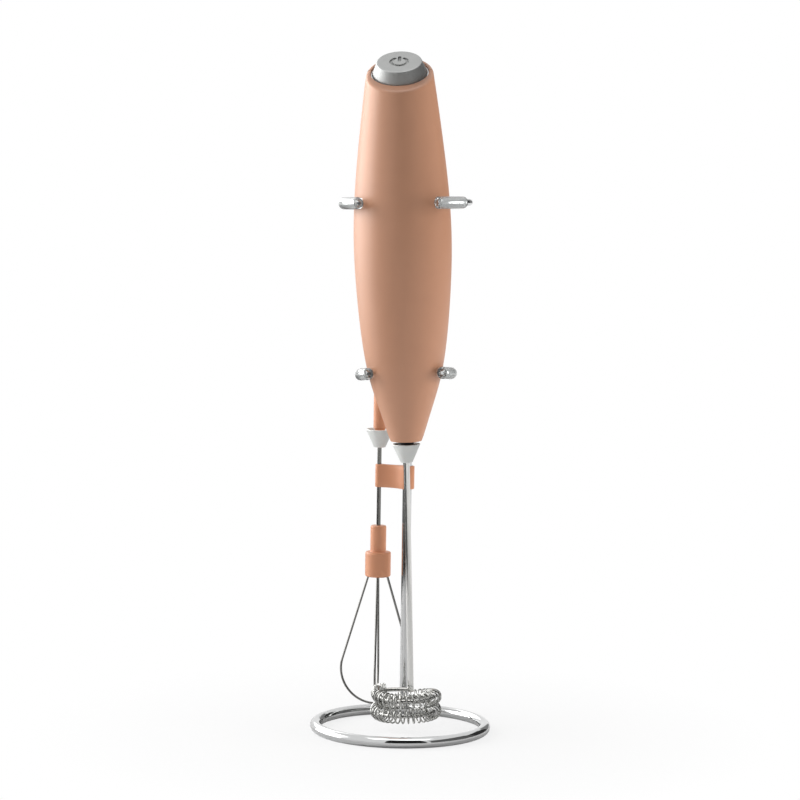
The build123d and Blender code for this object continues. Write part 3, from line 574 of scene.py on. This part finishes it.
def handle_half(wanted, shift):
    """One half of the handle's wall: both skins, and the edges where it meets the other half."""
    bm = bmesh.new()
    made = {}

    def corner(side, column, row):
        key = (side, column % COLUMNS, row)
        if key not in made:
            made[key] = bm.verts.new(columns[key[1]][side][row] + shift)
        return made[key]

    def face(corners):
        ring = list(dict.fromkeys(corners))
        if len(ring) > 2:
            bm.faces.new(ring)

    rows = len(columns[0][0])
    for column in range(COLUMNS):
        for row in range(rows - 1):
            if not wanted(column, row):
                continue
            grid = ((column, row), (column + 1, row), (column + 1, row + 1), (column, row + 1))
            face([corner(0, c, r) for c, r in grid])
            face([corner(1, c, r) for c, r in grid[::-1]])
            sides = (
                (grid[0], grid[1], row == 0 or not wanted(column, row - 1)),
                (grid[1], grid[2], not wanted((column + 1) % COLUMNS, row)),
                (grid[2], grid[3], row == rows - 2 or not wanted(column, row + 1)),
                (grid[3], grid[0], not wanted((column - 1) % COLUMNS, row)),
            )
            for first, second, bare in sides:
                if bare:
                    face([corner(0, *second), corner(0, *first), corner(1, *first), corner(1, *second)])
    bmesh.ops.remove_doubles(bm, verts=bm.verts, dist=SAME_SPOT)
    bmesh.ops.recalc_face_normals(bm, faces=bm.faces)
    bm.transform(frother_place)
    return as_mesh(bm, "handle_half")


soft_paint = grained(
    "soft-touch paint", (0.585, 0.282, 0.162), (0.615, 0.300, 0.173), 0.0, (0.40, 0.48), 5200.0, 0.10)
paint_looks = {"Sheen Weight": 0.04, "Sheen Roughness": 0.45, "Specular IOR Level": 0.8}
fill(soft_paint.node_tree.nodes["Principled BSDF"], paint_looks)
front_half = handle_half(lambda c, r: r < split_row or not in_cover[c], Vector((0, 0, 0)))
settle(front_half, "handle_front", soft_paint, "handle", "soft_peach", "handle_shell")
back_half = handle_half(lambda c, r: r >= split_row and in_cover[c], Vector((0, PARTING, PARTING)))
settle(back_half, "handle_back_cover", soft_paint, "battery_cover", "soft_peach", "battery_cover")

# The button is a satin metal cap on the slanted top, with a power symbol engraved in its face.
# A thin bright ring lines the rim's opening round it.
SYMBOL_RADIUS = 2.8
SYMBOL_HEIGHT = 3.8
SYMBOL_GROOVE = 0.62 * MM
SYMBOL_STEPS = 60
top_place = frother_place @ Matrix.Translation((0, 0, RIM)) @ Matrix.Rotation(SLANT, 4, "X")
satin = grained("satin metal", (0.355, 0.36, 0.355), (0.41, 0.415, 0.41), 1.0, (0.50, 0.60), 7000.0, 0.35)
cap_outline = [(0.0, 4.0), (6.6, 4.0), (7.3, 4.0), (7.52, 3.965), (7.68, 3.88), (7.80, 3.74), (7.88, 3.55)]
cap_outline += [(9.22, 0.15), (9.3, -0.1), (9.3, -1.8), (8.1, -1.8), (8.1, 0.0), (6.65, 2.8), (0.0, 2.8)]
symbol_turns = [math.radians(125 + 290 * step / SYMBOL_STEPS) for step in range(SYMBOL_STEPS + 1)]
symbol_ring = [(SYMBOL_RADIUS * math.cos(t), SYMBOL_RADIUS * math.sin(t)) for t in symbol_turns]
symbol_bar = [(0, y) for y in (0.7, 1.5, 2.4, 3.2)]


def groove(line):
    """A round-ended rod along a line on the button's face, which cuts a groove."""
    return swept([Vector((x, y, SYMBOL_HEIGHT)) * MM for x, y in line], SYMBOL_GROOVE, dome=True)


def shaped(piece):
    """The plain mesh of a piece, as its curve or its modifiers shape it."""
    bpy.context.view_layer.update()
    return bpy.data.meshes.new_from_object(piece.evaluated_get(bpy.context.evaluated_depsgraph_get()))


def cut_from(mesh, *tools):
    """A closed mesh with other closed meshes cut out of it."""
    for tool in tools:
        body = placed("body", mesh)
        knife = placed("knife", tool)
        cut = body.modifiers.new("cut", "BOOLEAN")
        cut.operation = "DIFFERENCE"
        cut.solver = "EXACT"
        cut.use_self = True
        cut.object = knife
        mesh = shaped(body)
        bpy.data.objects.remove(body)
        bpy.data.objects.remove(knife)
    return mesh


engraved = cut_from(spun(in_metres(cap_outline), steps=180), joined(groove(symbol_ring), groove(symbol_bar)))
engraved.transform(top_place)
settle(engraved, "power_button_cap", satin, "button", "satin_silver", "power_button")

bezel_outline = [(9.95, -1.6), (9.95, -0.75), (9.88, -0.64), (9.75, -0.6)]
bezel_outline += [(9.6, -0.62), (9.48, -0.73), (9.45, -0.9), (9.45, -1.6)]
bezel_mesh = spun(in_metres(bezel_outline), top_place, steps=160, closed=True)
bright_trim = grained("bright trim", (0.78, 0.78, 0.79), (0.85, 0.85, 0.86), 1.0, (0.10, 0.18), 2000.0, 0.04)
settle(bezel_mesh, "button_trim_ring", bright_trim, "handle", "bright_trim", "button_bezel")

# Both whisks end in a moulded stem with a flat at its tip, which plugs into the drive socket.
# A blasted aluminium cone sits on the stem's foot, open upwards, and keeps liquid off the nose.
FROTH_SHAFT = 1.1
EGG_SHAFT = 0.75
FROTH_CONE = 93.5
EGG_CONE = 95.2
CONE_HEIGHT = 6.5
STEM_RADIUS = 2.3
STEM_FLAT = 1.6
STEM_SHOULDER = 12.2
STEM_SIDES = 72
peach_moulding = grained(
    "peach moulding", (0.66, 0.292, 0.157), (0.70, 0.312, 0.170), 0.0, (0.36, 0.46), 2600.0, 0.10)
blasted = grained(
    "blasted aluminium", (0.70, 0.71, 0.695), (0.76, 0.77, 0.755), 1.0, (0.58, 0.70), 9000.0, 0.5)
stem_outline = [(0.0, -4.4), (1.8, -4.4), (1.8, 0.05), (2.1, 0.2), (STEM_RADIUS, 0.4)]
stem_outline += [(STEM_RADIUS, STEM_SHOULDER), (0.0, STEM_SHOULDER)]


def cone_outline(shaft):
    """The cone guard from its foot up the outside, over the rim and down to its floor."""
    points = [(shaft, 0.0), (1.75, 0.0), (2.02, 0.06), (2.18, 0.28), (2.3, 0.55), (4.78, 6.15), (4.85, 6.3)]
    points += [(4.84, 6.42), (4.76, 6.49), (4.62, CONE_HEIGHT), (4.42, 6.46), (4.25, 6.3)]
    points += [(1.95, 2.3), (1.85, 2.1), (shaft, 2.1)]
    return in_metres(points)


def whisk_stem(place):
    """The stem above the cone's rim, with one flat side on its tip."""
    shank = spun(in_metres(stem_outline), steps=STEM_SIDES)
    tip = bmesh.new()
    edge = []
    for step in range(STEM_SIDES):
        turn = 2 * math.pi * step / STEM_SIDES
        edge.append((min(STEM_RADIUS * math.cos(turn), STEM_FLAT) * MM, STEM_RADIUS * math.sin(turn) * MM))
    rows = ((1.0, STEM_SHOULDER), (1.0, 14.5), (0.94, 14.72), (0.85, 14.8))
    loops = [[tip.verts.new((x * s, y * s, z * MM)) for x, y in edge] for s, z in rows]
    skin(tip, loops)
    mesh = joined(shank, as_mesh(tip, "tip"))
    mesh.transform(place)
    return mesh


egg_place = Matrix.Translation((-10.15 * MM, 33.0 * MM, 0))
froth_cone_place = frother_place @ Matrix.Translation((0, 0, FROTH_CONE * MM))
egg_cone_place = egg_place @ Matrix.Translation((0, 0, EGG_CONE * MM))
froth_rim_place = frother_place @ Matrix.Translation((0, 0, (FROTH_CONE + CONE_HEIGHT) * MM))
egg_rim_place = egg_place @ Matrix.Translation((0, 0, (EGG_CONE + CONE_HEIGHT) * MM))
froth_stem = whisk_stem(froth_rim_place)
settle(froth_stem, "froth_whisk_stem", peach_moulding, "froth_whisk", "peach_plastic", "froth_stem")
egg_stem = whisk_stem(egg_rim_place)
settle(egg_stem, "egg_whisk_stem", peach_moulding, "egg_whisk", "peach_plastic", "egg_stem")
froth_cone = spun(cone_outline(FROTH_SHAFT), froth_cone_place, closed=True)
settle(froth_cone, "froth_whisk_cone", blasted, "froth_whisk", "satin_silver", "froth_cone")
egg_cone = spun(cone_outline(EGG_SHAFT), egg_cone_place, closed=True)
settle(egg_cone, "egg_whisk_cone", blasted, "egg_whisk", "satin_silver", "egg_cone")

# A black ring sits in the mouth of the froth whisk's cone, round its stem, as painted shade for the shadow
# inside the cone.
# It fills the mouth to just under the rim, and hugs the stem in a low collar.
# Painted shade: this near-black finish stands for the shadow in the cone's mouth, not for a real part.
painted_shade = grained("black rubber", (0.012, 0.012, 0.012), (0.022, 0.021, 0.020), 0.0, (0.55, 0.7), 2400.0, 0.2)
shade_filler_outline = [(2.32, -3.6), (2.9, -3.6), (4.2, -0.75), (4.22, -0.55), (4.12, -0.42), (3.95, -0.4)]
shade_filler_outline += [(3.1, -0.4), (2.75, -0.3), (2.62, 0.0), (2.6, 0.75), (2.52, 0.85), (2.32, 0.85)]
shade_filler_mesh = spun(in_metres(shade_filler_outline), froth_rim_place, steps=96, closed=True)
shade_filler = placed("froth_whisk_shade_filler", shade_filler_mesh)
shade_filler_mesh.materials.append(painted_shade)
shade_filler_mesh.shade_smooth()
shade_filler_mesh.set_sharp_from_angle(angle=SHARP_EDGE)
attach(shade_filler, "froth_whisk")

# The froth whisk's shaft is bright drawn steel, pressed through the cone into the stem.
# A thinner core wire leaves its foot along a spoke and runs once and a half round, dropping behind.
TIER_X = -1.75
TIER_RADIUS = 9.9
SPOKE = 13.6
CORE_WIRE = 0.7 * MM
CORE_START = 205.0
CORE_STEP = 30.0
CORE_STOPS = 19
DRAWN_GRAIN = (1, 1, 0.08)
drawn_steel = grained(
    "drawn steel", (0.66, 0.66, 0.64), (0.76, 0.76, 0.74), 1.0, (0.08, 0.18), 1500.0, 0.05, DRAWN_GRAIN)
wire_steel = grained("wire steel", (0.42, 0.42, 0.405), (0.54, 0.54, 0.52), 1.0, (0.10, 0.20), 2600.0, 0.06)
shaft_path = [frother_place @ Vector((0, 0, z * MM)) for z in (12.9, 14.0, 30.0, 60.0, 90.0, 99.5)]
shaft_mesh = swept(shaft_path, FROTH_SHAFT * MM, 40)
settle(shaft_mesh, "froth_whisk_shaft", drawn_steel, "froth_whisk", "polished_steel", "froth_shaft")

core_heights = ((190.0, 13.0), (229.0, 11.2), (360.0, 11.2), (550.0, 6.0), (780.0, 6.0))


def core_height(angle):
    """Height of the core's centreline at an angle along its route."""
    for (start, high), (end, low) in zip(core_heights, core_heights[1:]):
        if angle <= end:
            return high + (low - high) * (angle - start) / (end - start)


core_route = [Vector((0, 0, SPOKE)), Vector((-11.2, 1.0, SPOKE))]
core_reach = TIER_RADIUS / math.cos(math.radians(CORE_STEP / 2))
for step in range(CORE_STOPS):
    angle = CORE_START + CORE_STEP * step
    turn = math.radians(angle)
    spot = (TIER_X + core_reach * math.cos(turn), core_reach * math.sin(turn), core_height(angle))
    core_route.append(Vector(spot))
core_curve = bpy.data.curves.new("core", "CURVE")
core_curve.dimensions = "3D"
core_curve.resolution_u = 10
core_curve.bevel_depth = CORE_WIRE
core_curve.bevel_resolution = 5
core_curve.use_fill_caps = True
core_line = core_curve.splines.new("NURBS")
core_line.points.add(len(core_route) - 1)
for point, spot in zip(core_line.points, core_route):
    point.co = (*(spot * MM), 1.0)
core_line.order_u = 3
core_line.use_endpoint_u = True
core_object = placed("core", core_curve)
core_mesh = shaped(core_object)
bpy.data.objects.remove(core_object)
core_mesh.transform(frother_place)
settle(core_mesh, "froth_whisk_core", wire_steel, "froth_whisk", "polished_steel", "whisk_core")

# The whisk is one long spring of fine wire, threaded on the core from the spoke's bend to its end.
# Its first turns lie close, in a dome over the bend, and the rest runs round in two tiers that mesh.
COIL_POINTS = 1800
COIL_SIDES = 10
TRIM_START = 4
coil_tree = bpy.data.node_groups.new("threaded spring", "GeometryNodeTree")
coil_tree.interface.new_socket("Geometry", in_out="OUTPUT", socket_type="NodeSocketGeometry")
coil_tree.interface.new_socket("Geometry", in_out="INPUT", socket_type="NodeSocketGeometry")
coil_sizes = (
    ("Turn Radius", 2.4 * MM),
    ("Wire Radius", 0.28 * MM),
    ("Pitch", 1.84 * MM),
    ("Bare Spoke", 8.4 * MM),
    ("Close Length", 7.0 * MM),
    ("Close Turns", 4.8),
)
coil_ids = {}
coil_kinds = [(name, "NodeSocketFloat") for name, _ in coil_sizes] + [("Finish", "NodeSocketMaterial")]
for name, kind in coil_kinds:
    coil_ids[name] = coil_tree.interface.new_socket(name, in_out="INPUT", socket_type=kind).identifier
coil_in = coil_tree.nodes.new("NodeGroupInput")
coil_out = coil_tree.nodes.new("NodeGroupOutput")
size = coil_in.outputs


def sum_of(kind, first, second):
    """One sum in the spring's tree: add, multiply, sine and so on."""
    node = coil_tree.nodes.new("ShaderNodeMath")
    node.operation = kind
    for socket, value in zip(node.inputs, (first, second)):
        if isinstance(value, (int, float)):
            socket.default_value = value
        elif value is not None:
            coil_tree.links.new(value, socket)
    return node.outputs[0]


def scaled(way, length):
    """A direction in the spring's tree, made as long as asked."""
    node = coil_tree.nodes.new("ShaderNodeVectorMath")
    node.operation = "SCALE"
    coil_tree.links.new(way, node.inputs[0])
    coil_tree.links.new(length, node.inputs["Scale"])
    return node.outputs["Vector"]


run = coil_tree.nodes.new("GeometryNodeSplineParameter").outputs["Length"]
close_share = sum_of("MINIMUM", sum_of("DIVIDE", run, size["Close Length"]), 1.0)
open_turns = sum_of("DIVIDE", run, size["Pitch"])
turns = sum_of("ADD", open_turns, sum_of("MULTIPLY", close_share, size["Close Turns"]))
wind = sum_of("MULTIPLY", turns, 2 * math.pi)
aside = coil_tree.nodes.new("GeometryNodeInputNormal").outputs["Normal"]
across = coil_tree.nodes.new("ShaderNodeVectorMath")
across.operation = "CROSS_PRODUCT"
coil_tree.links.new(coil_tree.nodes.new("GeometryNodeInputTangent").outputs["Tangent"], across.inputs[0])
coil_tree.links.new(aside, across.inputs[1])
out_by = scaled(aside, sum_of("MULTIPLY", size["Turn Radius"], sum_of("COSINE", wind, None)))
up_by = scaled(across.outputs["Vector"], sum_of("MULTIPLY", size["Turn Radius"], sum_of("SINE", wind, None)))
swing = coil_tree.nodes.new("ShaderNodeVectorMath")
coil_tree.links.new(out_by, swing.inputs[0])
coil_tree.links.new(up_by, swing.inputs[1])
wound_part = coil_tree.nodes.new("GeometryNodeTrimCurve")
wound_part.mode = "LENGTH"
dense = fill(coil_tree.nodes.new("GeometryNodeResampleCurve"), {"Count": COIL_POINTS})
level = coil_tree.nodes.new("GeometryNodeSetCurveNormal")
level.mode = "Z_UP"
wound = coil_tree.nodes.new("GeometryNodeSetPosition")
section = fill(coil_tree.nodes.new("GeometryNodeCurvePrimitiveCircle"), {"Resolution": COIL_SIDES})
solid = fill(coil_tree.nodes.new("GeometryNodeCurveToMesh"), {"Fill Caps": True})
whole = coil_tree.nodes.new("GeometryNodeRealizeInstances")
painted = coil_tree.nodes.new("GeometryNodeSetMaterial")
wire(
    coil_tree,
    (size["Geometry"], wound_part.inputs["Curve"]),
    (size["Bare Spoke"], wound_part.inputs[TRIM_START]),
    (wound_part.outputs["Curve"], dense.inputs["Curve"]),
    (dense.outputs["Curve"], level.inputs["Curve"]),
    (level.outputs["Curve"], wound.inputs["Geometry"]),
    (swing.outputs["Vector"], wound.inputs["Offset"]),
    (wound.outputs["Geometry"], solid.inputs["Curve"]),
    (size["Wire Radius"], section.inputs["Radius"]),
    (section.outputs["Curve"], solid.inputs["Profile Curve"]),
    (solid.outputs["Mesh"], whole.inputs["Geometry"]),
    (whole.outputs["Geometry"], painted.inputs["Geometry"]),
    (size["Finish"], painted.inputs["Material"]),
    (painted.outputs["Geometry"], coil_out.inputs["Geometry"]),
)
core_curve.bevel_depth = 0.0
core_curve.resolution_u = 24
coil_object = placed("coil", core_curve)
threading = coil_object.modifiers.new("threaded spring", "NODES")
threading.node_group = coil_tree
for name, value in coil_sizes:
    threading[coil_ids[name]] = value
threading[coil_ids["Finish"]] = wire_steel
coil_mesh = shaped(coil_object)
bpy.data.objects.remove(coil_object)
coil_mesh.transform(frother_place)
coil_nodes = ("whisk_coil_upper", "whisk_coil_lower")
settle(coil_mesh, "froth_whisk_spring", wire_steel, "froth_whisk", "polished_steel", *coil_nodes)

# The clip is one moulding that springs onto the post and onto the egg whisk's shaft from behind.
# Its two round grips run into each other over a hollow waist, with small rounds on every edge.
CLIP_FOOT = 81.0
CLIP_HEIGHT = 8.2
CLIP_STEPS = 28
WAIST = 11.0
BORE_SIDES = 64
MOUTH_DEPTH = 6.0
MOUTH_MIDDLE = 3.4
post_grip = (Vector((0.0, 29.4)), 2.5)
shaft_grip = (Vector((-10.15, 33.0)), 1.4)


def clip_outline(inset):
    """The clip seen from above: both grips, joined by two hollow arcs."""
    post, post_round = post_grip[0], post_grip[1] - inset
    shaft, shaft_round = shaft_grip[0], shaft_grip[1] - inset
    hollow = WAIST + inset
    line = shaft - post
    span = line.length
    near = post_round + hollow
    far = shaft_round + hollow
    along = (near ** 2 + span ** 2 - far ** 2) / (2 * span)
    aside = math.sqrt(near ** 2 - along ** 2)
    ahead = line / span
    beside = Vector((-ahead.y, ahead.x))
    points = []
    front = post + ahead * along + beside * aside
    back = post + ahead * along - beside * aside
    stops = ((post, post_round, back, front, -1), (front, hollow, post, shaft, 1),
             (shaft, shaft_round, front, back, -1), (back, hollow, shaft, post, 1))
    for centre, radius, first, second, way in stops:
        start = math.atan2(first.y - centre.y, first.x - centre.x)
        end = math.atan2(second.y - centre.y, second.x - centre.x)
        while way * (end - start) <= 0:
            end += way * 2 * math.pi
        turns = [start + (end - start) * step / CLIP_STEPS for step in range(CLIP_STEPS)]
        points += [centre + radius * Vector((math.cos(t), math.sin(t))) for t in turns]
    return points


clip_rows = ((0.0, 0.3), (0.05, 0.16), (0.14, 0.06), (0.3, 0.0), (2.0, 0.0), (4.1, 0.0), (6.2, 0.0))
clip_rows += tuple((CLIP_HEIGHT - height, inset) for height, inset in clip_rows[3::-1])
clip_build = bmesh.new()
clip_loops = []
for height, inset in clip_rows:
    level = (CLIP_FOOT + height) * MM
    clip_loops.append([clip_build.verts.new((p.x * MM, p.y * MM, level)) for p in clip_outline(inset)])
skin(clip_build, clip_loops)
bmesh.ops.recalc_face_normals(clip_build, faces=clip_build.faces)
clip_mesh = as_mesh(clip_build, "clip")


def clip_bore(grip, bore, mouth):
    """What is cut from a grip: its bore, and the mouth that opens behind it."""
    made = bmesh.new()
    height = CLIP_HEIGHT + 2.0
    bmesh.ops.create_cone(made, cap_ends=True, segments=BORE_SIDES, radius1=bore, radius2=bore, depth=height)
    gap = bmesh.ops.create_cube(made, size=1.0)["verts"]
    bmesh.ops.scale(made, vec=(mouth, MOUTH_DEPTH, height - 0.2), verts=gap)
    bmesh.ops.translate(made, vec=(0, MOUTH_MIDDLE, 0), verts=gap)
    bmesh.ops.translate(made, vec=(grip[0].x, grip[0].y, CLIP_FOOT + CLIP_HEIGHT / 2), verts=made.verts)
    bmesh.ops.scale(made, vec=(MM, MM, MM), verts=made.verts)
    return as_mesh(made, "bore")


clip_mesh = cut_from(clip_mesh, clip_bore(post_grip, 1.65, 2.4), clip_bore(shaft_grip, 0.82, 1.0))
settle(clip_mesh, "post_whisk_clip", peach_moulding, "whisk_clip", "peach_plastic", "whisk_clip")

# The egg whisk has a straight shaft of bright wire, and a stepped collar moulded on its lower end.
# Two loops of springy wire, one across the other, are gripped in the collar.
LOOP_WIRE = 0.4 * MM
LOOP_STEPS = 80
SIDE_STEPS = 8
# Painted shade: the egg whisk's steel is coloured far darker than steel is, standing for the dark reflections
# along its shaft and loops.
shaded_steel = grained(
    "stainless wire", (0.19, 0.187, 0.177), (0.24, 0.237, 0.227), 1.0, (0.10, 0.20), 1500.0, 0.05,
    DRAWN_GRAIN)
egg_shaft_path = [egg_place @ Vector((0, 0, z * MM)) for z in (50.6, 60.0, 75.0, 90.0, 101.0)]
egg_shaft_mesh = swept(egg_shaft_path, EGG_SHAFT * MM, 32)
settle(egg_shaft_mesh, "egg_whisk_shaft", shaded_steel, "egg_whisk", "polished_steel", "egg_shaft")
collar_outline = [(0.0, 48.9), (3.9, 48.9), (4.2, 48.95), (4.42, 49.12), (4.55, 49.5), (4.55, 57.2)]
collar_outline += [(4.48, 57.5), (4.3, 57.72), (4.0, 57.8), (3.0, 57.8), (2.85, 57.86), (2.8, 58.0)]
collar_outline += [(2.8, 66.7), (2.7, 67.0), (2.5, 67.16), (2.2, 67.2), (0.0, 67.2)]
collar_mesh = spun(in_metres(collar_outline), egg_place, steps=96)
settle(collar_mesh, "egg_whisk_collar", peach_moulding, "egg_whisk", "peach_plastic", "egg_collar")


def loop_path(radius, across):
    """A round-bottomed loop whose two sides lean in to the collar, in one upright plane."""
    middle, collar, entry, grip = 15.6, 48.9, 3.4, 4.0
    rise = collar - middle
    lean = math.asin(radius / math.hypot(rise, entry)) - math.atan2(entry, rise)
    foot = (radius * math.cos(lean), middle + radius * math.sin(lean))
    head = (entry - grip * math.tan(lean), collar + grip)
    flat = []
    for step in range(SIDE_STEPS):
        flat.append(tuple(h + (f - h) * step / SIDE_STEPS for h, f in zip(head, foot)))
    for step in range(LOOP_STEPS + 1):
        turn = lean - (math.pi + 2 * lean) * step / LOOP_STEPS
        flat.append((radius * math.cos(turn), middle + radius * math.sin(turn)))
    flat += [(-x, z) for x, z in flat[:SIDE_STEPS][::-1]]
    return [egg_place @ (across * (x * MM) + Vector((0, 0, z * MM))) for x, z in flat]


outer_loop = swept(loop_path(12.7, Vector((1, 0, 0))), LOOP_WIRE, 16)
settle(outer_loop, "egg_whisk_outer_loop", shaded_steel, "egg_whisk", "polished_steel", "egg_loop_outer")
inner_loop = swept(loop_path(11.8, Vector((0, 1, 0))), LOOP_WIRE, 16)
settle(inner_loop, "egg_whisk_inner_loop", shaded_steel, "egg_whisk", "polished_steel", "egg_loop_inner")

# The studio: a pale table that fades into a white backdrop, and soft boxes that light it from both sides.
# Gloss boxes and dark cards show only in bright surfaces, and give the metal its white and black lines.
TABLE_RADIUS = 0.5
TABLE_FADE = (0.03, 0.13)
TABLE_SHOWN = 0.20
SKY_LIGHT = 0.45
table_build = bmesh.new()
bmesh.ops.create_circle(table_build, cap_ends=True, segments=96, radius=TABLE_RADIUS)
table_mesh = as_mesh(table_build, "table")
table = placed("table", table_mesh)
pale = bpy.data.materials.new("pale table")
pale.use_nodes = True
pale_nodes = pale.node_tree.nodes
pale_shader = pale_nodes["Principled BSDF"]
fill(pale_shader, {"Base Color": (0.86, 0.86, 0.86, 1.0), "Roughness": 0.9})
pale_clear = pale_nodes.new("ShaderNodeBsdfTransparent")
pale_mix = pale_nodes.new("ShaderNodeMixShader")
pale_coords = pale_nodes.new("ShaderNodeTexCoord")
pale_far = pale_nodes.new("ShaderNodeVectorMath")
pale_far.operation = "LENGTH"
pale_fade = pale_nodes.new("ShaderNodeMapRange")
fill(pale_fade, {"From Min": TABLE_FADE[0], "From Max": TABLE_FADE[1], "To Min": TABLE_SHOWN, "To Max": 0.0})
pale_ray = pale_nodes.new("ShaderNodeLightPath")
pale_seen = fill(pale_nodes.new("ShaderNodeMapRange"), {"To Min": 1.0, "To Max": 0.0})
pale_share = pale_nodes.new("ShaderNodeMath")
pale_share.operation = "MAXIMUM"
wire(
    pale.node_tree,
    (pale_coords.outputs["Object"], pale_far.inputs[0]),
    (pale_far.outputs["Value"], pale_fade.inputs["Value"]),
    (pale_ray.outputs["Is Camera Ray"], pale_seen.inputs["Value"]),
    (pale_fade.outputs["Result"], pale_share.inputs[0]),
    (pale_seen.outputs["Result"], pale_share.inputs[1]),
    (pale_share.outputs[0], pale_mix.inputs[0]),
    (pale_clear.outputs[0], pale_mix.inputs[1]),
    (pale_shader.outputs[0], pale_mix.inputs[2]),
    (pale_mix.outputs[0], pale_nodes["Material Output"].inputs["Surface"]),
)
table_mesh.materials.append(pale)

world = bpy.data.worlds.new("white studio")
bpy.context.scene.world = world
world.use_nodes = True
sky_nodes = world.node_tree.nodes
sky_nodes.clear()
white = (1.0, 1.0, 1.0, 1.0)
soft_sky = fill(sky_nodes.new("ShaderNodeBackground"), {"Color": white, "Strength": SKY_LIGHT})
white_sky = fill(sky_nodes.new("ShaderNodeBackground"), {"Color": white, "Strength": 1.0})
ray = sky_nodes.new("ShaderNodeLightPath")
seen = sky_nodes.new("ShaderNodeMath")
seen.operation = "MAXIMUM"
bright = sky_nodes.new("ShaderNodeMath")
bright.operation = "MAXIMUM"
pick = sky_nodes.new("ShaderNodeMixShader")
sky_out = sky_nodes.new("ShaderNodeOutputWorld")
wire(
    world.node_tree,
    (ray.outputs["Is Camera Ray"], seen.inputs[0]),
    (ray.outputs["Is Glossy Ray"], seen.inputs[1]),
    (seen.outputs[0], bright.inputs[0]),
    (ray.outputs["Is Transmission Ray"], bright.inputs[1]),
    (bright.outputs[0], pick.inputs[0]),
    (soft_sky.outputs[0], pick.inputs[1]),
    (white_sky.outputs[0], pick.inputs[2]),
    (pick.outputs[0], sky_out.inputs["Surface"]),
)


def lamp(name, spot, aim, width, height, power):
    """A soft box that shines from a spot towards an aim."""
    data = bpy.data.lights.new(name, "AREA")
    data.shape = "RECTANGLE"
    data.size = width
    data.size_y = height
    data.energy = power
    made = placed(name, data)
    made.location = spot
    made.rotation_euler = (Vector(aim) - Vector(spot)).to_track_quat("-Z", "Y").to_euler()
    return made


lamp("left soft box", (-0.78, 0.18, 0.45), (0, 0.01, 0.12), 0.6, 0.6, 6.5).visible_glossy = False
lamp("right soft box", (0.80, 0.12, 0.22), (0, 0.01, 0.09), 0.5, 0.4, 3.5).visible_glossy = False
lamp("left gloss box", (-1.0, 0.28, 0.37), (0, 0.01, 0.13), 1.1, 0.9, 12.0).visible_diffuse = False
lamp("back gloss box", (-0.60, 0.84, 0.58), (0, 0.01, 0.23), 0.8, 0.6, 2.4).visible_diffuse = False
lamp("top gloss box", (0.0, -0.25, 1.3), (0, 0, 0.2), 1.2, 0.6, 4.5).visible_diffuse = False


def card(name, corners, tone):
    """A dark card, given by its corners, that shows only in bright surfaces."""
    build = bmesh.new()
    build.faces.new([build.verts.new(corner) for corner in corners])
    mesh = as_mesh(build, name)
    made = placed(name, mesh)
    flat = grained(name, (tone,) * 3, (tone * 1.3,) * 3, 0.0, (0.9, 1.0), 20.0, 0.0)
    fill(flat.node_tree.nodes["Principled BSDF"], {"Specular IOR Level": 0.0})
    mesh.materials.append(flat)
    made.visible_camera = False
    made.visible_diffuse = False
    made.visible_shadow = False
    made.visible_transmission = False


card("front card", ((-0.43, -1.5, 0.0), (1.13, -1.5, 0.0), (1.13, -1.5, 2.6), (-0.43, -1.5, 2.6)), 0.03)
card("table front card", ((-0.95, -1.5, 0.0), (1.13, -1.5, 0.0), (0.80, -1.0, 0.0), (-0.65, -1.0, 0.0)), 0.02)
card("table left card", ((-0.256, -0.136, MM), (-0.662, -0.352, MM), (-0.85, 0.23, MM), (-0.45, 0.78, MM),
     (-0.12, 0.85, MM), (-0.04, 0.287, MM), (-0.272, 0.099, MM)), 0.09)
card("table near card", ((-0.07, -0.261, MM), (-0.194, -0.724, MM), (-0.462, -0.591, MM),
     (-0.662, -0.352, MM), (-0.238, -0.127, MM), (-0.166, -0.213, MM)), 0.01)
card("right card", ((1.0, -1.1, 0.0), (1.25, 0.5, 0.0), (1.25, 0.5, 1.1), (1.0, -1.1, 1.1)), 0.2)
card("right back card", ((1.25, 0.5, 0.0), (0.8, 1.25, 0.0), (0.8, 1.25, 0.9), (1.25, 0.5, 0.9)), 0.06)
card("far right card", ((0.8, 1.25, 0.0), (0.35, 1.45, 0.0), (0.35, 1.45, 0.7), (0.8, 1.25, 0.7)), 0.4)

# The camera stands a little to the right of the front, level with the button, and looks slightly down.
# It has a long lens, so that upright lines hardly lean, and is rolled by less than a degree.
CAMERA_AWAY = 1.2
CAMERA_HEIGHT = 0.2493
CAMERA_SIDE = 2.467
CAMERA_AIM = 0.081
CAMERA_DIP = -6.347
CAMERA_ROLL = 0.851
FOCAL_PIXELS = 3505.1
PICTURE_PIXELS = 800.0
SENSOR_WIDTH = 36.0
camera_side = math.radians(CAMERA_SIDE)
camera_turn = math.radians(CAMERA_SIDE + CAMERA_AIM)
camera_dip = math.radians(CAMERA_DIP)
camera_roll = math.radians(CAMERA_ROLL)
ahead = Vector((-math.sin(camera_turn), math.cos(camera_turn), 0))
right = Vector((math.cos(camera_turn), math.sin(camera_turn), 0))
up = Vector((0, 0, 1))
look = ahead * math.cos(camera_dip) + up * math.sin(camera_dip)
lift = up * math.cos(camera_dip) - ahead * math.sin(camera_dip)
side = right * math.cos(camera_roll) + lift * math.sin(camera_roll)
crown = lift * math.cos(camera_roll) - right * math.sin(camera_roll)
camera_data = bpy.data.cameras.new("camera")
camera_data.sensor_width = SENSOR_WIDTH
camera_data.lens = FOCAL_PIXELS * SENSOR_WIDTH / PICTURE_PIXELS
camera = placed("camera", camera_data)
stance = Matrix((side, crown, -look)).transposed().to_4x4()
camera_x = CAMERA_AWAY * math.sin(camera_side)
camera_y = -CAMERA_AWAY * math.cos(camera_side)
stance.translation = (camera_x, camera_y, CAMERA_HEIGHT)
camera.matrix_world = stance
bpy.context.scene.camera = camera
bpy.context.scene.view_settings.view_transform = "Standard"
